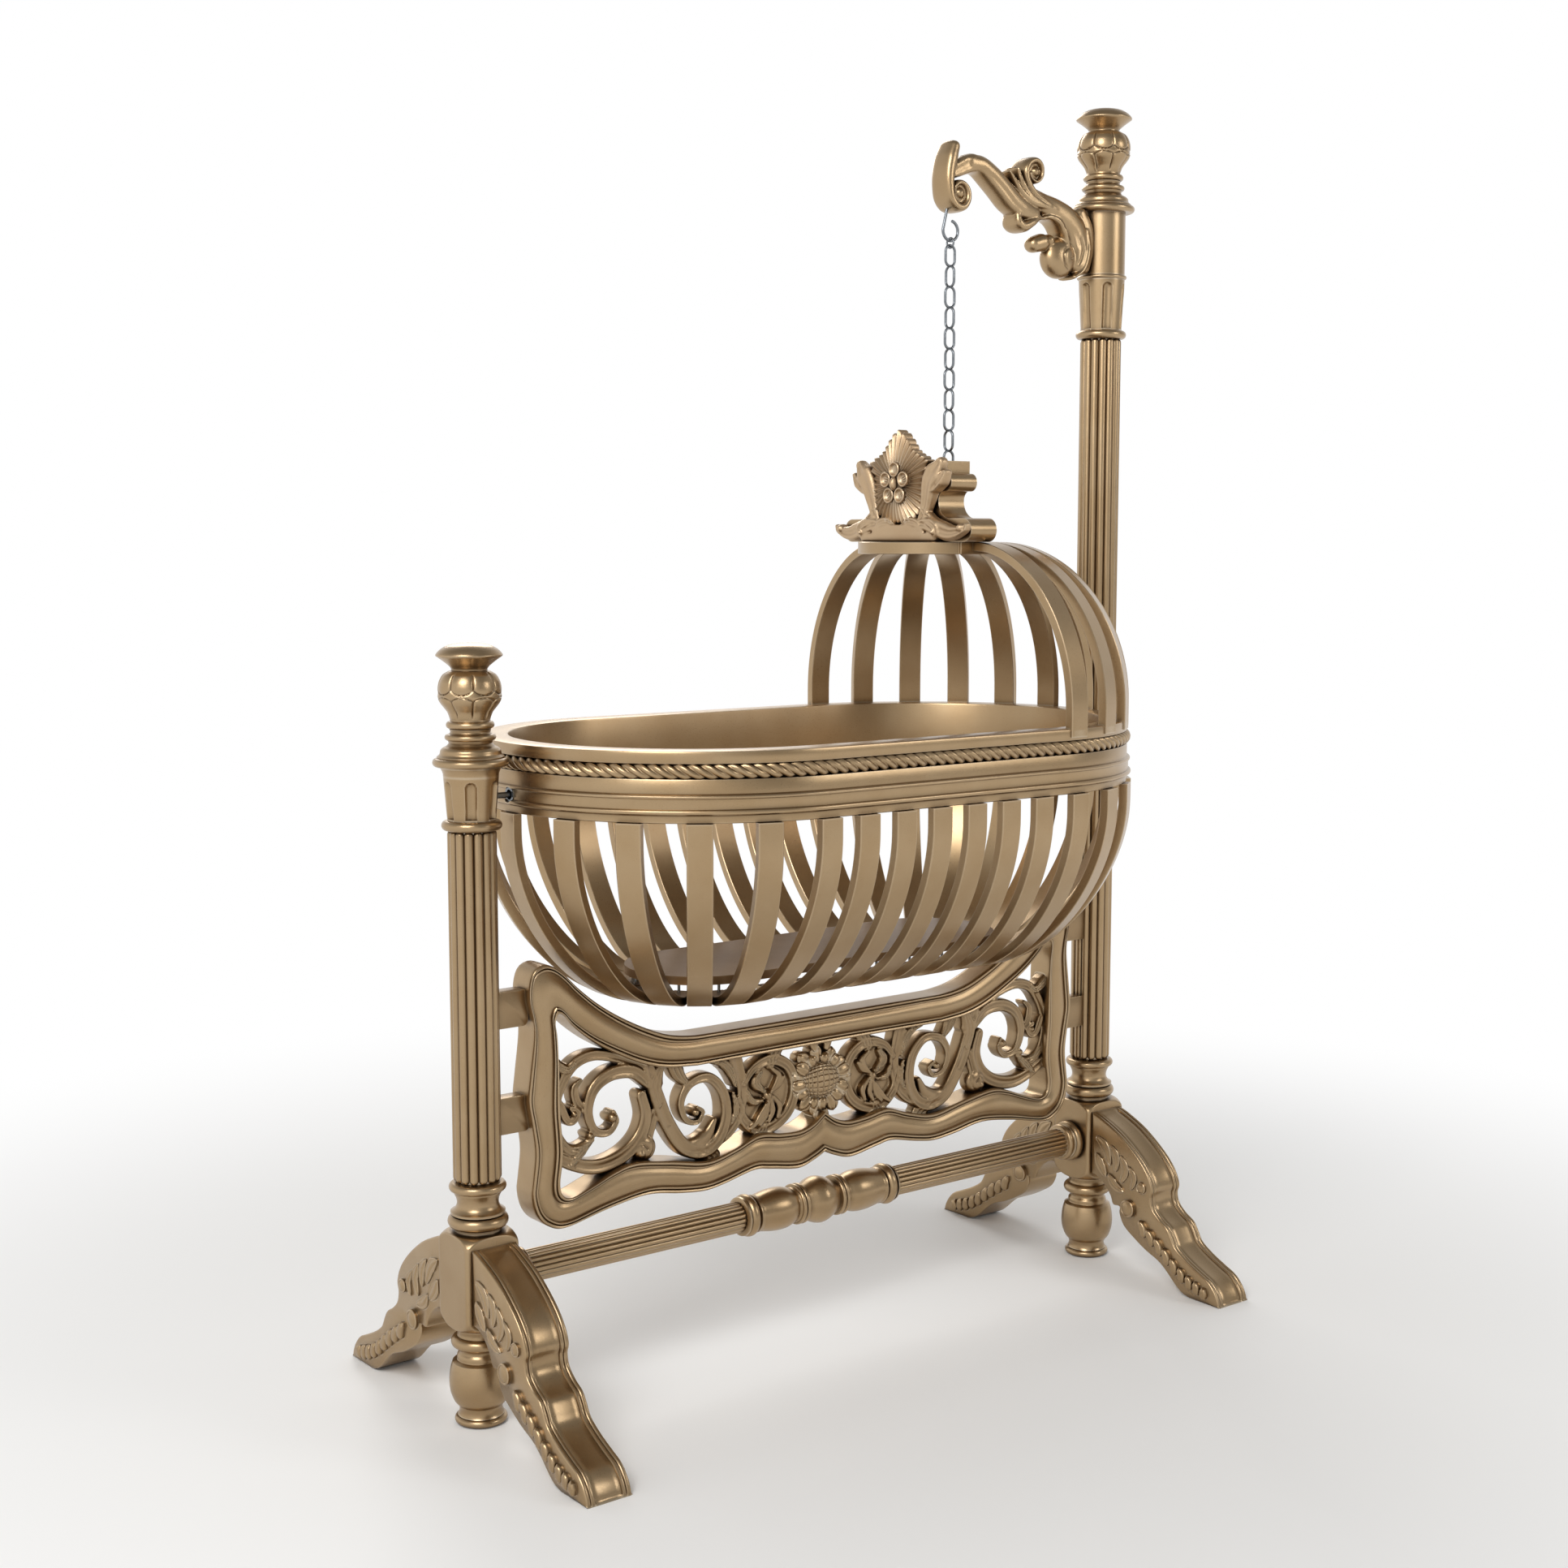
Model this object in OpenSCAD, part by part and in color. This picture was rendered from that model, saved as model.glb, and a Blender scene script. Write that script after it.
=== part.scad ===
/* [Basket] */
// Length of the straight sides of the rim, between its two round ends
rim_straight = 424; // [400:2:460]
// Outer radius of the rim band at its round ends, half the width of the band
rim_r = 299; // [285:1:315]
// Thickness of the rim band
rim_t = 38; // [32:1:42]
// Height of the rim band
rim_h = 92; // [88:1:100]
// Diameter of the rope moulding
rope_d = 21.6; // [19:0.2:22.4]
// How far the rope moulding stands out of the band
rope_proud = 5; // [3:0.5:6]
// Width of a slat
slat_w = 34; // [30:1:40]
// Thickness of a slat
slat_t = 13; // [9:0.5:14]
// Depth of the basket below the rim
basket_depth = 260; // [250:2:270]
// Number of slats on each long side
side_slats = 7; // [6:1:7]
// Spacing of the slats on the long sides
side_pitch = 63; // [58:0.5:64]
// Number of slats round the foot end, the middle one at the very end
foot_slats = 9; // [7:2:9]
// Angle between the slats of the foot end
foot_step = 17.3; // [17:0.1:18]
// Number of slats round the head end, and of ribs in the hood above them
head_slats = 12; // [10:1:12]
// Half width of the base board
board_half = 104; // [98:1:108]
// Thickness of the base board
board_t = 12; // [10:1:16]
// Height of the hood above the rim
hood_h = 261; // [240:2:280]
// Diameter of the wood screws
screw_d = 4; // [3:0.5:5]

/* [Crown] */
// Half width of the crown plate
plate_half = 105; // [98:1:108]
// Thickness of the crown plate
plate_t = 18; // [14:1:22]
// How far the plate reaches in front of the centre of the round end
plate_lead = 29; // [25:1:40]
// Depth of the pedestal behind its ornament
pedestal_depth = 50; // [46:1:54]
// Half width of the pedestal's neck
neck_half = 72; // [66:1:76]
// Thickness of the carved ornament
ornament_t = 20; // [16:1:24]
// Distance of the chain eye behind the centre of the round end
eye_back = 39; // [36:1:50]

/* [Posts] */
// Distance from the end of the rim band to the centre of each post
post_gap = 59; // [57:1:75]
// Radius of the reeded shafts
shaft_r = 32; // [29:0.5:34]
// Number of reeds round a shaft
reeds = 14; // [12:1:16]
// Height of the turned feet
foot_h = 132; // [124:1:140]
// Width of the square hub blocks
hub_w = 80; // [76:1:86]
// Height of the hub blocks
hub_h = 132; // [128:1:140]
// Height of the turned moulding above each hub
base_h = 66; // [64:1:72]
// Length of the short post's reeded shaft
short_shaft_h = 467; // [455:1:490]
// Height of the short post's fluted capital
short_capital_h = 58; // [54:1:64]
// Length of the tall post's reeded shaft
tall_shaft_h = 1155; // [1130:5:1200]
// Height of the tall post's fluted capital
tall_capital_h = 79; // [70:1:90]
// Diameter of the studs and dowels that hold the posts, feet and finials
stud_d = 10; // [8:0.5:12]

/* [Legs] */
// Thickness of the legs
leg_t = 66; // [60:1:72]
// Reach of a leg's toe from the centre of the post
leg_reach = 316; // [300:2:330]
// Diameter of the bolts that clamp the legs to the hub
leg_bolt_d = 8; // [6:0.5:10]

/* [Stretcher] */
// Height of the stretcher's centre line
stretcher_z = 197; // [190:1:202]
// Radius of the stretcher's reeded rails
stretcher_r = 22.5; // [20:0.5:24]
// Number of reeds round the stretcher
stretcher_reeds = 18; // [14:1:20]
// Half length of the turned piece in the middle
turning_half = 143; // [138:1:150]

/* [Panel] */
// Thickness of the panel frame
panel_t = 46; // [40:1:50]
// Height of the panel's lowest edge
panel_z = 246; // [240:1:250]
// Gap between the panel's widest point and the centre of a post
panel_gap = 67; // [60:1:72]
// Thickness of the carved scrollwork
scroll_t = 34; // [28:1:36]
// Height of a side bracket
bracket_h = 50; // [44:1:56]
// Thickness of a side bracket
bracket_t = 22; // [18:1:26]

/* [Arm and chain] */
// Thickness of the scroll arm
arm_t = 42; // [38:1:46]
// Height of the sleeve that carries the arm
sleeve_h = 96; // [92:1:104]
// Outer radius of the sleeve
sleeve_r = 35.7; // [34.5:0.1:37]
// Radius of the post's spigot inside the sleeve
spigot_r = 28; // [25:0.5:30]
// Diameter of the hook's wire
hook_d = 4.5; // [4:0.1:5]
// Radius of the hook's bend
hook_r = 14.5; // [13:0.5:16]
// Diameter of the chain's wire
chain_d = 4; // [3.5:0.1:4.4]
// Outer width of a chain link
link_w = 22; // [20:0.5:24]
// Spacing of the chain links, rounded to whole links
link_pitch = 30; // [28:0.5:34]

/* [Pivot] */
// Diameter of the pivot's stud
pivot_d = 8; // [7:0.5:9]
// Radius of the ball on the end of the stud
ball_r = 6.5; // [6:0.1:7]
// Height of the pivot above the rim's lower edge
pivot_up = 24; // [22:0.5:26]
// Running clearance of the moving pieces
clearance = 0.3; // [0.2:0.05:0.4]

/* [Hidden] */
$fn = 64;
GOLD = "#B39F82";
DARK_GOLD = "#8C7355";
STEEL = "#8A8F96";
fit = 0.1;
// Depth to which turned members of one piece run into each other
joint_lap = 0.5;

// Heights up the posts
hub_z = foot_h;
base_z = hub_z + hub_h;
shaft_z = base_z + base_h;
ring_h = 13;
short_ring_z = shaft_z + short_shaft_h;
short_top_z = short_ring_z + ring_h + short_capital_h + 12;
tall_ring_z = shaft_z + tall_shaft_h;
sleeve_z = tall_ring_z + ring_h + tall_capital_h + 6;
tall_top_z = sleeve_z + sleeve_h;

// Plan of the basket and the posts
half_straight = rim_straight / 2;
post_x = half_straight + rim_r + post_gap;
pivot_z = short_ring_z + ring_h + short_capital_h / 2;
pivot_x = -(half_straight + rim_r - 10);
rim_z = pivot_z - pivot_up;
rim_top = rim_z + rim_h;
rope_z = rim_z + 66;
rope_r = rim_r + rope_proud - rope_d / 2;
slat_r = rim_r - 6;
slat_low = rim_z - basket_depth;
board_z = slat_low + slat_t;
hood_top = rim_top + hood_h;
plate_z = hood_top - plate_t;
foot_half = (foot_slats - 1) / 2;
head_first = 4.5;
head_step = (180 - 2 * head_first) / (head_slats - 1);
screw_r = board_half - 12;
notch_h = 12;

// Hang point of the chain
hook_x = half_straight + eye_back;
arm_reach = post_x - hook_x;
hook_z = sleeve_z + 43.5;
contact_z = hook_z - hook_r + hook_d / 2;
ring_tube = 1.5;
ring_in = 5.7;
ring_z = contact_z + clearance - ring_in;
link_gap = 0.15;
eye_r = 8;
eye_z = hood_top + eye_r + chain_d / 2 + 1;
first_link_z = ring_z - ring_in + link_gap;
eye_seat_z = eye_z + eye_r - chain_d / 2;
links = round((first_link_z - eye_seat_z) / link_pitch);
real_pitch = (first_link_z - eye_seat_z) / links;

// Plan of the crown
pedestal_back = half_straight + 6;
pedestal_front = pedestal_back - pedestal_depth;

// Panel
panel_half = post_x - panel_gap;
panel_stretch = panel_half / 503;
panel_rise = (slat_low - panel_z) / 309;
bracket_zs = [panel_z + 166 * panel_rise, panel_z + 309 * panel_rise];
stretcher_end = post_x - hub_w / 2;

// Right half of the panel frame's outer edge, from the middle of the bottom round to the top
PANEL_OUT = [[0, 28], [20, 19], [50, 11.5], [100, 19.5], [130, 23], [180, 13], [215, 8.5],
    [257, 12.5], [315, 21], [381, 13], [447, 0], [475, 7.5], [492, 25], [499, 51], [497, 72],
    [493, 110], [498, 150], [503, 182], [500, 212], [493, 268], [495, 296], [500, 320],
    [499, 342], [492, 358], [478, 364.5], [463, 361], [446, 349], [426, 329], [396, 304],
    [361, 281], [319, 259], [277, 242.5], [236, 235.5], [200, 234.5]];
// Right half of the panel frame's inner edge
PANEL_IN = [[0, 89], [20, 75], [45, 67.5], [80, 69], [120, 74], [160, 61], [210, 50.5],
    [270, 61], [330, 70], [365, 64], [400, 51], [435, 40], [451, 46], [455, 64], [450, 105],
    [454, 160], [455, 215], [457, 262], [460, 282], [455, 295], [445, 290], [430, 273],
    [399, 249], [361, 227], [319, 207], [280, 196], [230, 191.5]];
// Upper edge of a leg, outward from the hub, as distance from the post and height
LEG_TOP = [[40, 250], [60, 244], [100, 226], [140, 198], [163, 174], [173, 152], [170, 137],
    [174, 122], [188, 109], [205, 99], [214, 87], [224, 71], [246, 57], [272, 45], [292, 36],
    [305, 24], [313, 11], [316, 0]];
// Lower edge of a leg, inward from the toe
LEG_LOW = [[255, 0], [240, 4], [226, 13], [205, 31], [188, 42], [162, 52], [135, 66],
    [114, 80], [104, 98], [104, 109], [90, 109], [84, 122], [70, 138], [54, 147.5], [40, 149]];

function cr(a, b, c, d, t) =
    0.5 * (2 * b + (c - a) * t + (2 * a - 5 * b + 4 * c - d) * t * t
        + (3 * b - a - 3 * c + d) * t * t * t);
function spline(p, n) = concat([for (i = [0:len(p) - 2]) for (j = [0:n - 1])
    cr(p[max(i - 1, 0)], p[i], p[i + 1], p[min(i + 2, len(p) - 1)], j / n)], [p[len(p) - 1]]);
function reversed(p) = [for (i = [len(p) - 1:-1:0]) p[i]];
function stretched(p, k, r = 1) = [for (q = p) [q[0] * k, q[1] * r]];
function in_panel(p) = stretched(p, panel_stretch, panel_rise);
function both_sides(p) = concat(p, [for (q = reversed(p)) if (q[0] != 0) [-q[0], q[1]]]);
function bez(p, t) = pow(1 - t, 3) * p[0] + 3 * t * pow(1 - t, 2) * p[1]
    + 3 * t * t * (1 - t) * p[2] + pow(t, 3) * p[3];
function bez_dir(p, t) = let (d = pow(1 - t, 2) * (p[1] - p[0]) + 2 * t * (1 - t) * (p[2] - p[1])
    + t * t * (p[3] - p[2])) d / norm(d);
function bead(r, z, h) = [for (a = [-90:22.5:90]) [r - h + h * cos(a), z + h * sin(a)]];
function lowered(p, dz) = [for (q = p) [q[0], q[1] + dz]];

// A bent strip of even thickness in the plane of radius and height
function strip(p, t, side, start, finish) = let (n = 14)
    concat([start], [for (i = [0:n]) bez(p, i / n)], [finish],
        [finish + [0, -side * t]],
        [for (i = [n:-1:0]) let (d = bez_dir(p, i / n)) bez(p, i / n) + side * t * [-d[1], d[0]]],
        [start - [t, 0]]);
LOW_CURVE = [[slat_r, rim_z - 25], [slat_r, rim_z - 135], [slat_r - 101, slat_low],
    [board_half + 4, slat_low]];
HOOD_R = rim_r + 2;
HOOD_CURVE = [[HOOD_R, rim_top + 23], [HOOD_R, rim_top + 153], [HOOD_R - 91, hood_top],
    [plate_half + 2, hood_top]];

// Ready-made placings
module along_y() rotate([90, 0, 0]) children();
module along_x() rotate([0, 90, 0]) children();
module upright(t) rotate([90, 0, 0]) linear_extrude(t, center = true) children();
module at_short() translate([-post_x, 0, 0]) children();
module at_tall() translate([post_x, 0, 0]) children();
module lathe(p) rotate_extrude() polygon(concat([[0, p[0][1]]], p, [[0, p[len(p) - 1][1]]]));

// A line of tapering width through chosen points, with round ends a hair wider than the line
module ribbon(p, w0, w1, n = 5) {
    lap = 0.4;
    s = spline(p, n);
    last = len(s) - 1;
    side = [for (i = [0:last]) let (d = s[min(i + 1, last)] - s[max(i - 1, 0)],
        u = d / norm(d), w = w0 + (w1 - w0) * i / last) [-u[1], u[0]] * w / 2];
    polygon(concat([for (i = [0:last]) s[i] - side[i]], [for (i = [last:-1:0]) s[i] + side[i]]));
    translate(s[0]) circle(d = w0 + lap, $fn = 24);
    translate(s[last]) circle(d = w1 + lap, $fn = 24);
}

// Stadium outline of the rim at a radius
module stadium(r) {
    square([rim_straight, 2 * r], center = true);
    for (s = [-1, 1]) translate([s * half_straight, 0]) circle(r, $fn = 128);
}

// Sweeps a section of radius and height round the rim
module round_rim() {
    for (s = [0, 1]) mirror([s, 0, 0]) translate([half_straight, 0, 0]) rotate(-90)
        rotate_extrude(angle = 180, $fn = 128) children();
    for (s = [0, 1]) mirror([0, s, 0]) translate([-half_straight, 0, 0]) rotate([90, 0, 90])
        linear_extrude(rim_straight) children();
}

module reeded(r, h, n) {
    s = sin(180 / n);
    q = 1.06 * r * s / (1 + s);
    linear_extrude(h) {
        circle(r - q);
        for (i = [0:n - 1]) rotate(i * 360 / n) translate([r - q, 0]) circle(q, $fn = 24);
    }
}

// Turned pieces of the posts
module turned_foot() difference() {
    lathe(concat([[30, 0]], bead(35, 5.5, 5.5), [[31, 12], [31, 15], [29, 20]],
        spline([[30, 25], [36, 33], [41, 50], [41, 67], [37.5, 84]], 3),
        [[31, 88], [31, 95], [27.5, 99]], bead(38.5, foot_h - 19, 8), [[31.5, foot_h]]));
    translate([0, 0, foot_h - 62]) cylinder(d = stud_d + 2 * fit, h = 63);
}

module hub_block() difference() {
    intersection() {
        translate([-hub_w / 2, -hub_w / 2, hub_z]) cube([hub_w, hub_w, hub_h]);
        lathe([for (q = [[38, 0], [46, 4], [52, 11], [57.5, 20], [57.5, hub_h - 15],
            [52, hub_h - 9], [46, hub_h - 4], [38, hub_h]]) [q[0] * hub_w / 80, q[1] + hub_z]]);
    }
    translate([0, 0, hub_z - 1]) cylinder(d = stud_d + 2 * fit, h = hub_h + 2);
    leg_bolt_pair(2 * fit);
}

module base_moulding() {
    lathe(lowered(concat([[31.5, 0], [31.5, 4]], bead(40.3, 13, 9), [[36, 23], [36, 26]],
        spline([[36, 26], [29, 31], [27.5, 37], [32, base_h - 14]], 3),
        bead(38, base_h - 7, 6), [[shaft_r - 3, base_h]]), base_z));
}

module ring(z) lathe(concat([[31, z]], bead(shaft_r + 7.3, z + ring_h / 2, ring_h / 2),
    [[31, z + ring_h]]));

module capital(z, h) difference() {
    translate([0, 0, z - joint_lap]) cylinder(r1 = 31.5, r2 = 36, h = h + joint_lap);
    for (i = [0:5]) rotate(i * 60) translate([40, 0, z + 3]) {
        cylinder(r = 8.3, h = h - 14);
        translate([0, 0, h - 14]) sphere(8.3);
    }
}

module post_shaft(z_ring, h_capital) {
    base_moulding();
    translate([0, 0, shaft_z - joint_lap])
        reeded(shaft_r, z_ring - shaft_z + 2 * joint_lap, reeds);
    ring(z_ring);
    capital(z_ring + ring_h, h_capital);
}

module stud_bore(z0, z1) translate([0, 0, z0]) cylinder(d = stud_d + 2 * fit, h = z1 - z0);

module finial(z) difference() {
    lathe(lowered(concat([[40, 0]], bead(49.5, 5.5, 5.5), [[43.6, 13], [40, 17], [38.4, 22],
        [27.5, 29]], bead(33.2, 38, 5), [[25.7, 45]], bead(31.2, 54, 5),
        spline([[26, 61], [29, 70], [35, 78], [40.5, 87], [41, 91], [37, 93.5]], 2),
        spline([[37.5, 95], [40.6, 102], [38.4, 112], [34, 119], [23.1, 124.5]], 2),
        spline([[23.6, 127], [27, 132], [33, 137]], 2), [[43, 138.5], [43, 140.5]],
        spline([[41.5, 145], [36.7, 151], [28.8, 156], [17.5, 159], [0.5, 160]], 2)), z));
    stud_bore(z - 1, z + 41);
}

// Legs
module leg_bolt_pair(extra) for (s = [-1, 1])
    translate([s * 16, 0, hub_z + hub_h - 42]) along_y()
        cylinder(d = leg_bolt_d + extra, h = hub_w + 80, center = true);

module leg() {
    out = leg_reach - 316;
    hub_out = hub_w / 2 - 40;
    outline = concat(spline(LEG_TOP, 3), spline(LEG_LOW, 2));
    difference() {
        rotate([90, 0, -90]) linear_extrude(leg_t, center = true)
            polygon([for (q = outline) [q[0] + hub_out + (out - hub_out) * (q[0] - 40) / 276,
                q[1] * (1 + (hub_z + hub_h - 264) * q[1] / 264 / 264)]]);
        leg_bolt_pair(2 * fit);
    }
}

// Stretcher, drawn along X about its own axis
module stretcher_rail() translate([0, 0, stretcher_z]) difference() {
    union() {
        translate([turning_half, 0, 0]) along_x()
            reeded(stretcher_r, stretcher_end - turning_half - 26, stretcher_reeds);
        translate([stretcher_end - 28, 0, 0]) along_x() lathe(concat([[24, 0]],
            bead(29, 5, 5), [[25, 11], [27, 14]], bead(32, 21, 7), [[30, 28]]));
    }
    stretcher_bores(fit);
}

module stretcher_bores(extra) for (s = [-1, 1])
    for (x = [turning_half, stretcher_end]) translate([s * x, 0, 0]) along_x()
        cylinder(d = stud_d + 2 * extra, h = 50, center = true);

module turning_half_profile() {
    half = concat([[0, 0]], [for (q = spline([[35, 0], [33.5, 10], [28, 22], [24, 29]], 2)) q],
        bead(30, 38, 5), [[25.5, 46], [25.5, 50]],
        spline([[27, 54], [30, 66], [31, 82], [27, 112]], 2), [[27, 118], [24, 120]],
        bead(31, turning_half - 13, 9), [[22, turning_half], [0, turning_half]]);
    polygon(half);
}

// Carved panel, drawn as seen from the front about its middle
module panel_outer() polygon(both_sides(in_panel(spline(PANEL_OUT, 3))));
module panel_inner() polygon(both_sides(in_panel(spline(PANEL_IN, 3))));

module flower_outline() {
    translate([0, 134 * panel_rise]) {
        circle(36);
        for (i = [0:11]) rotate(i * 30 + 15) translate([37, 0]) circle(11.5, $fn = 24);
    }
    for (s = [-1, 1]) translate([s * 10, 134 * panel_rise + 53]) circle(9, $fn = 24);
    translate([0, 134 * panel_rise - 46]) circle(9, $fn = 24);
}

module stem(p, w0, w1) ribbon(in_panel(p), w0, w1);
module spiral_eye(r) scale([1, panel_rise]) circle(r, $fn = 32);
module right_scrolls() intersection() {
    panel_inner();
    difference() {
        union() {
            stem([[456, 92], [430, 79], [390, 71], [345, 80], [315, 105], [309, 145],
                [330, 182], [366, 195], [394, 180], [403, 148], [390, 121], [368, 116],
                [357, 130]], 16, 9);
            translate(in_panel([[366, 137]])[0]) spiral_eye(12);
            stem([[300, 176], [322, 200], [358, 218], [392, 227], [420, 219], [436, 196],
                [424, 180], [404, 184]], 14, 8);
            stem([[458, 150], [436, 140], [420, 148], [403, 160]], 14, 10);
            stem([[456, 112], [430, 102], [408, 108], [396, 124]], 12, 8);
            stem([[460, 232], [440, 214], [425, 219]], 16, 8);
            stem([[306, 214], [300, 180], [288, 145], [272, 112], [246, 74], [214, 62],
                [186, 74], [172, 104], [176, 142], [200, 166], [232, 164], [250, 140],
                [242, 114], [222, 106]], 18, 9);
            translate(in_panel([[222, 123]])[0]) spiral_eye(13);
            stem([[292, 132], [303, 102], [313, 78], [320, 58]], 18, 20);
            stem([[222, 70], [206, 56], [196, 44]], 16, 22);
            stem([[256, 200], [250, 176], [238, 160]], 22, 14);
            stem([[192, 70], [160, 84], [146, 104], [140, 140], [146, 166], [152, 198]], 14, 20);
            stem([[150, 108], [124, 80], [92, 76], [62, 92], [50, 124], [60, 156], [90, 171],
                [120, 160], [130, 130], [116, 108], [96, 108]], 18, 9);
            translate(in_panel([[98, 124]])[0]) spiral_eye(13);
            stem([[96, 82], [104, 66], [114, 58]], 20, 22);
            stem([[84, 166], [78, 182], [72, 198]], 18, 24);
        }
        circle_gap();
    }
}

// Room for the flower between the two halves of the scrollwork
module circle_gap() {
    translate([0, 134 * panel_rise]) circle(49);
    translate([-25, 60 * panel_rise]) square([50, 150 * panel_rise]);
}

module scrollwork() translate([0, 0, panel_z]) upright(scroll_t) right_scrolls();

// Side brackets of the panel, flat tabs between the frame and a post
module bracket(z) difference() {
    translate([0, 0, z]) upright(bracket_t)
        translate([panel_half - 40, -bracket_h / 2]) square([panel_gap + 20, bracket_h]);
    at_tall() translate([0, 0, shaft_z]) cylinder(r = shaft_r, h = tall_shaft_h);
    translate([0, 0, panel_z]) upright(panel_t + 2) panel_outer();
    bracket_bores(fit);
}

module bracket_bores(extra) for (z = bracket_zs) translate([panel_half - 30, 0, z]) along_x()
    cylinder(d = screw_d + 1 + 2 * extra, h = panel_gap + 20);

// Scroll arm, drawn as distance from the tall post's axis and height above the sleeve's foot
ARM_EDGE = [[24, 88.5], [36, 86], [42, 77.5], [50, 72], [58, 75], [65, 84.5], [85, 98.5], [120, 107.5],
    [150, 117], [176, 129], [196, 138], [218, 139], [236, 149], [252, 156.5], [272, 161.5],
    [292, 160.5], [302, 153], [310, 160], [320, 164.5], [327, 150], [335, 128], [339, 107],
    [337, 90], [329, 79], [318, 75], [306, 78], [296, 92], [292, 110], [282, 121], [268, 118],
    [250, 106], [220, 84.5], [194, 75], [170, 72], [140, 67.5], [118, 56], [112, 40], [122, 22],
    [114, -2], [92, -13], [70, -10], [54, -4], [42, 1], [24, 1.5]];
module arm_outline() {
    k = arm_reach / 319;
    polygon(reversed(stretched(spline(ARM_EDGE, 3), k)));
    translate([163 * k, 142.5]) circle(18);
    translate([182 * k, 63.5]) circle(14);
    translate([92 * k, 18.5]) circle(33);
    translate([315 * k, 97.5]) circle(21);
    ribbon([[118 * k, 36], [134 * k, 43], [154 * k, 41]], 18, 10);
    ribbon([[176 * k, 122], [190 * k, 128]], 26, 22);
}

module arm_bolt_pair(extra) for (z = [16, 50]) translate([post_x - 92, 0, sleeve_z + z])
    along_x() cylinder(d = leg_bolt_d + 2 * extra, h = 96);

// Straight shank of the hook, from its bend up into the tip of the arm
module hook_shank(extra) translate([hook_x, 0, hook_z]) rotate([0, 14, 0])
    translate([-hook_r, 0, 0]) cylinder(d = hook_d + 2 * extra, h = 52);

// Pivot stud, from inside the short post to the ball in the rim
module pivot_rod(extra) translate([-post_x - 20, 0, pivot_z]) along_x()
    cylinder(d = pivot_d + 2 * extra, h = post_x + 20 + pivot_x);

// Slats and ribs
module sector(a, half, side_gap) rotate(a) translate([side_gap / sin(half), 0])
    polygon([[0, 0], [600, -600 * tan(half)], [600, 600 * tan(half)]]);
module slat_hole(r, z0, h, extra) translate([r, 0, z0]) cylinder(d = screw_d + 2 * extra, h = h);
module flat_slat() difference() {
    upright(slat_w) polygon(strip(LOW_CURVE, slat_t, -1, [slat_r, rim_z],
        [board_half - 26, slat_low]));
    slat_hole(screw_r, slat_low - 1, slat_t + 2, fit);
}
module end_slat(a, half) intersection() {
    rotate(a) flat_slat();
    translate([0, 0, slat_low - 1]) linear_extrude(basket_depth + 2) sector(a, half, 0.25);
}
function side_x(k) = -half_straight - 2 + k * side_pitch;
module side_slat_row() difference() {
    for (k = [0:side_slats - 1]) translate([side_x(k), 0, 0]) rotate(-90) flat_slat();
    translate([-half_straight, 0, slat_low - 1]) linear_extrude(basket_depth + 2)
        sector(-90 - foot_step, foot_step / 2, -0.25);
}
module at_foot_end() translate([-half_straight, 0, 0]) children();
module at_head_end() translate([half_straight, 0, 0]) children();
function foot_angle(k) = 180 + sign(k) * (90 - (foot_half + 1 - abs(k)) * foot_step);
function head_angle(k) = -90 + head_first + k * head_step;

module hood_rib(a) intersection() {
    rotate(a) difference() {
        upright(slat_w) polygon(strip(HOOD_CURVE, slat_t, 1, [HOOD_R, rim_top - notch_h],
            [plate_half - 20, hood_top]));
        hood_screw(fit);
    }
    translate([0, 0, rim_top - 20]) linear_extrude(hood_h + 40) sector(a, head_step / 2, 0.25);
}
module hood_screw(extra) translate([rim_r - 24, 0, rim_top - 6]) along_x()
    cylinder(d = screw_d + 2 * extra, h = 24);
// Notch in the top of the band, in which the lower end of a rib sits
module rib_notch() translate([HOOD_R - slat_t - fit, -slat_w / 2 - fit, rim_top - notch_h - fit])
    cube([slat_t + 2, slat_w + 2 * fit, notch_h + 2]);

// Crown
module plate_outline() {
    translate([half_straight, 0]) circle(plate_half, $fn = 96);
    translate([half_straight - plate_lead, -plate_half]) square([plate_lead, 2 * plate_half]);
}
module plate_solid(extra) translate([0, 0, plate_z - extra]) linear_extrude(plate_t + 2 * extra)
    plate_outline();

module pedestal_outline() {
    translate([-126, 0]) square([252, 34]);
    for (s = [-1, 1]) translate([s * 126, 17]) circle(17);
    translate([-neck_half, 30]) square([2 * neck_half, 50]);
    for (s = [-1, 1]) mirror([s < 0 ? 1 : 0, 0]) {
        difference() {
            translate([neck_half - 1, 33]) square([26, 25]);
            translate([neck_half + 25, 59]) circle(25);
        }
        difference() {
            translate([neck_half - 1, 61]) square([16, 15]);
            translate([neck_half + 15, 60]) circle(15);
        }
    }
    translate([-87, 73]) square([174, 26]);
    for (s = [-1, 1]) translate([s * 87, 86]) circle(13);
    translate([-84, 98]) square([168, 19]);
}

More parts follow.
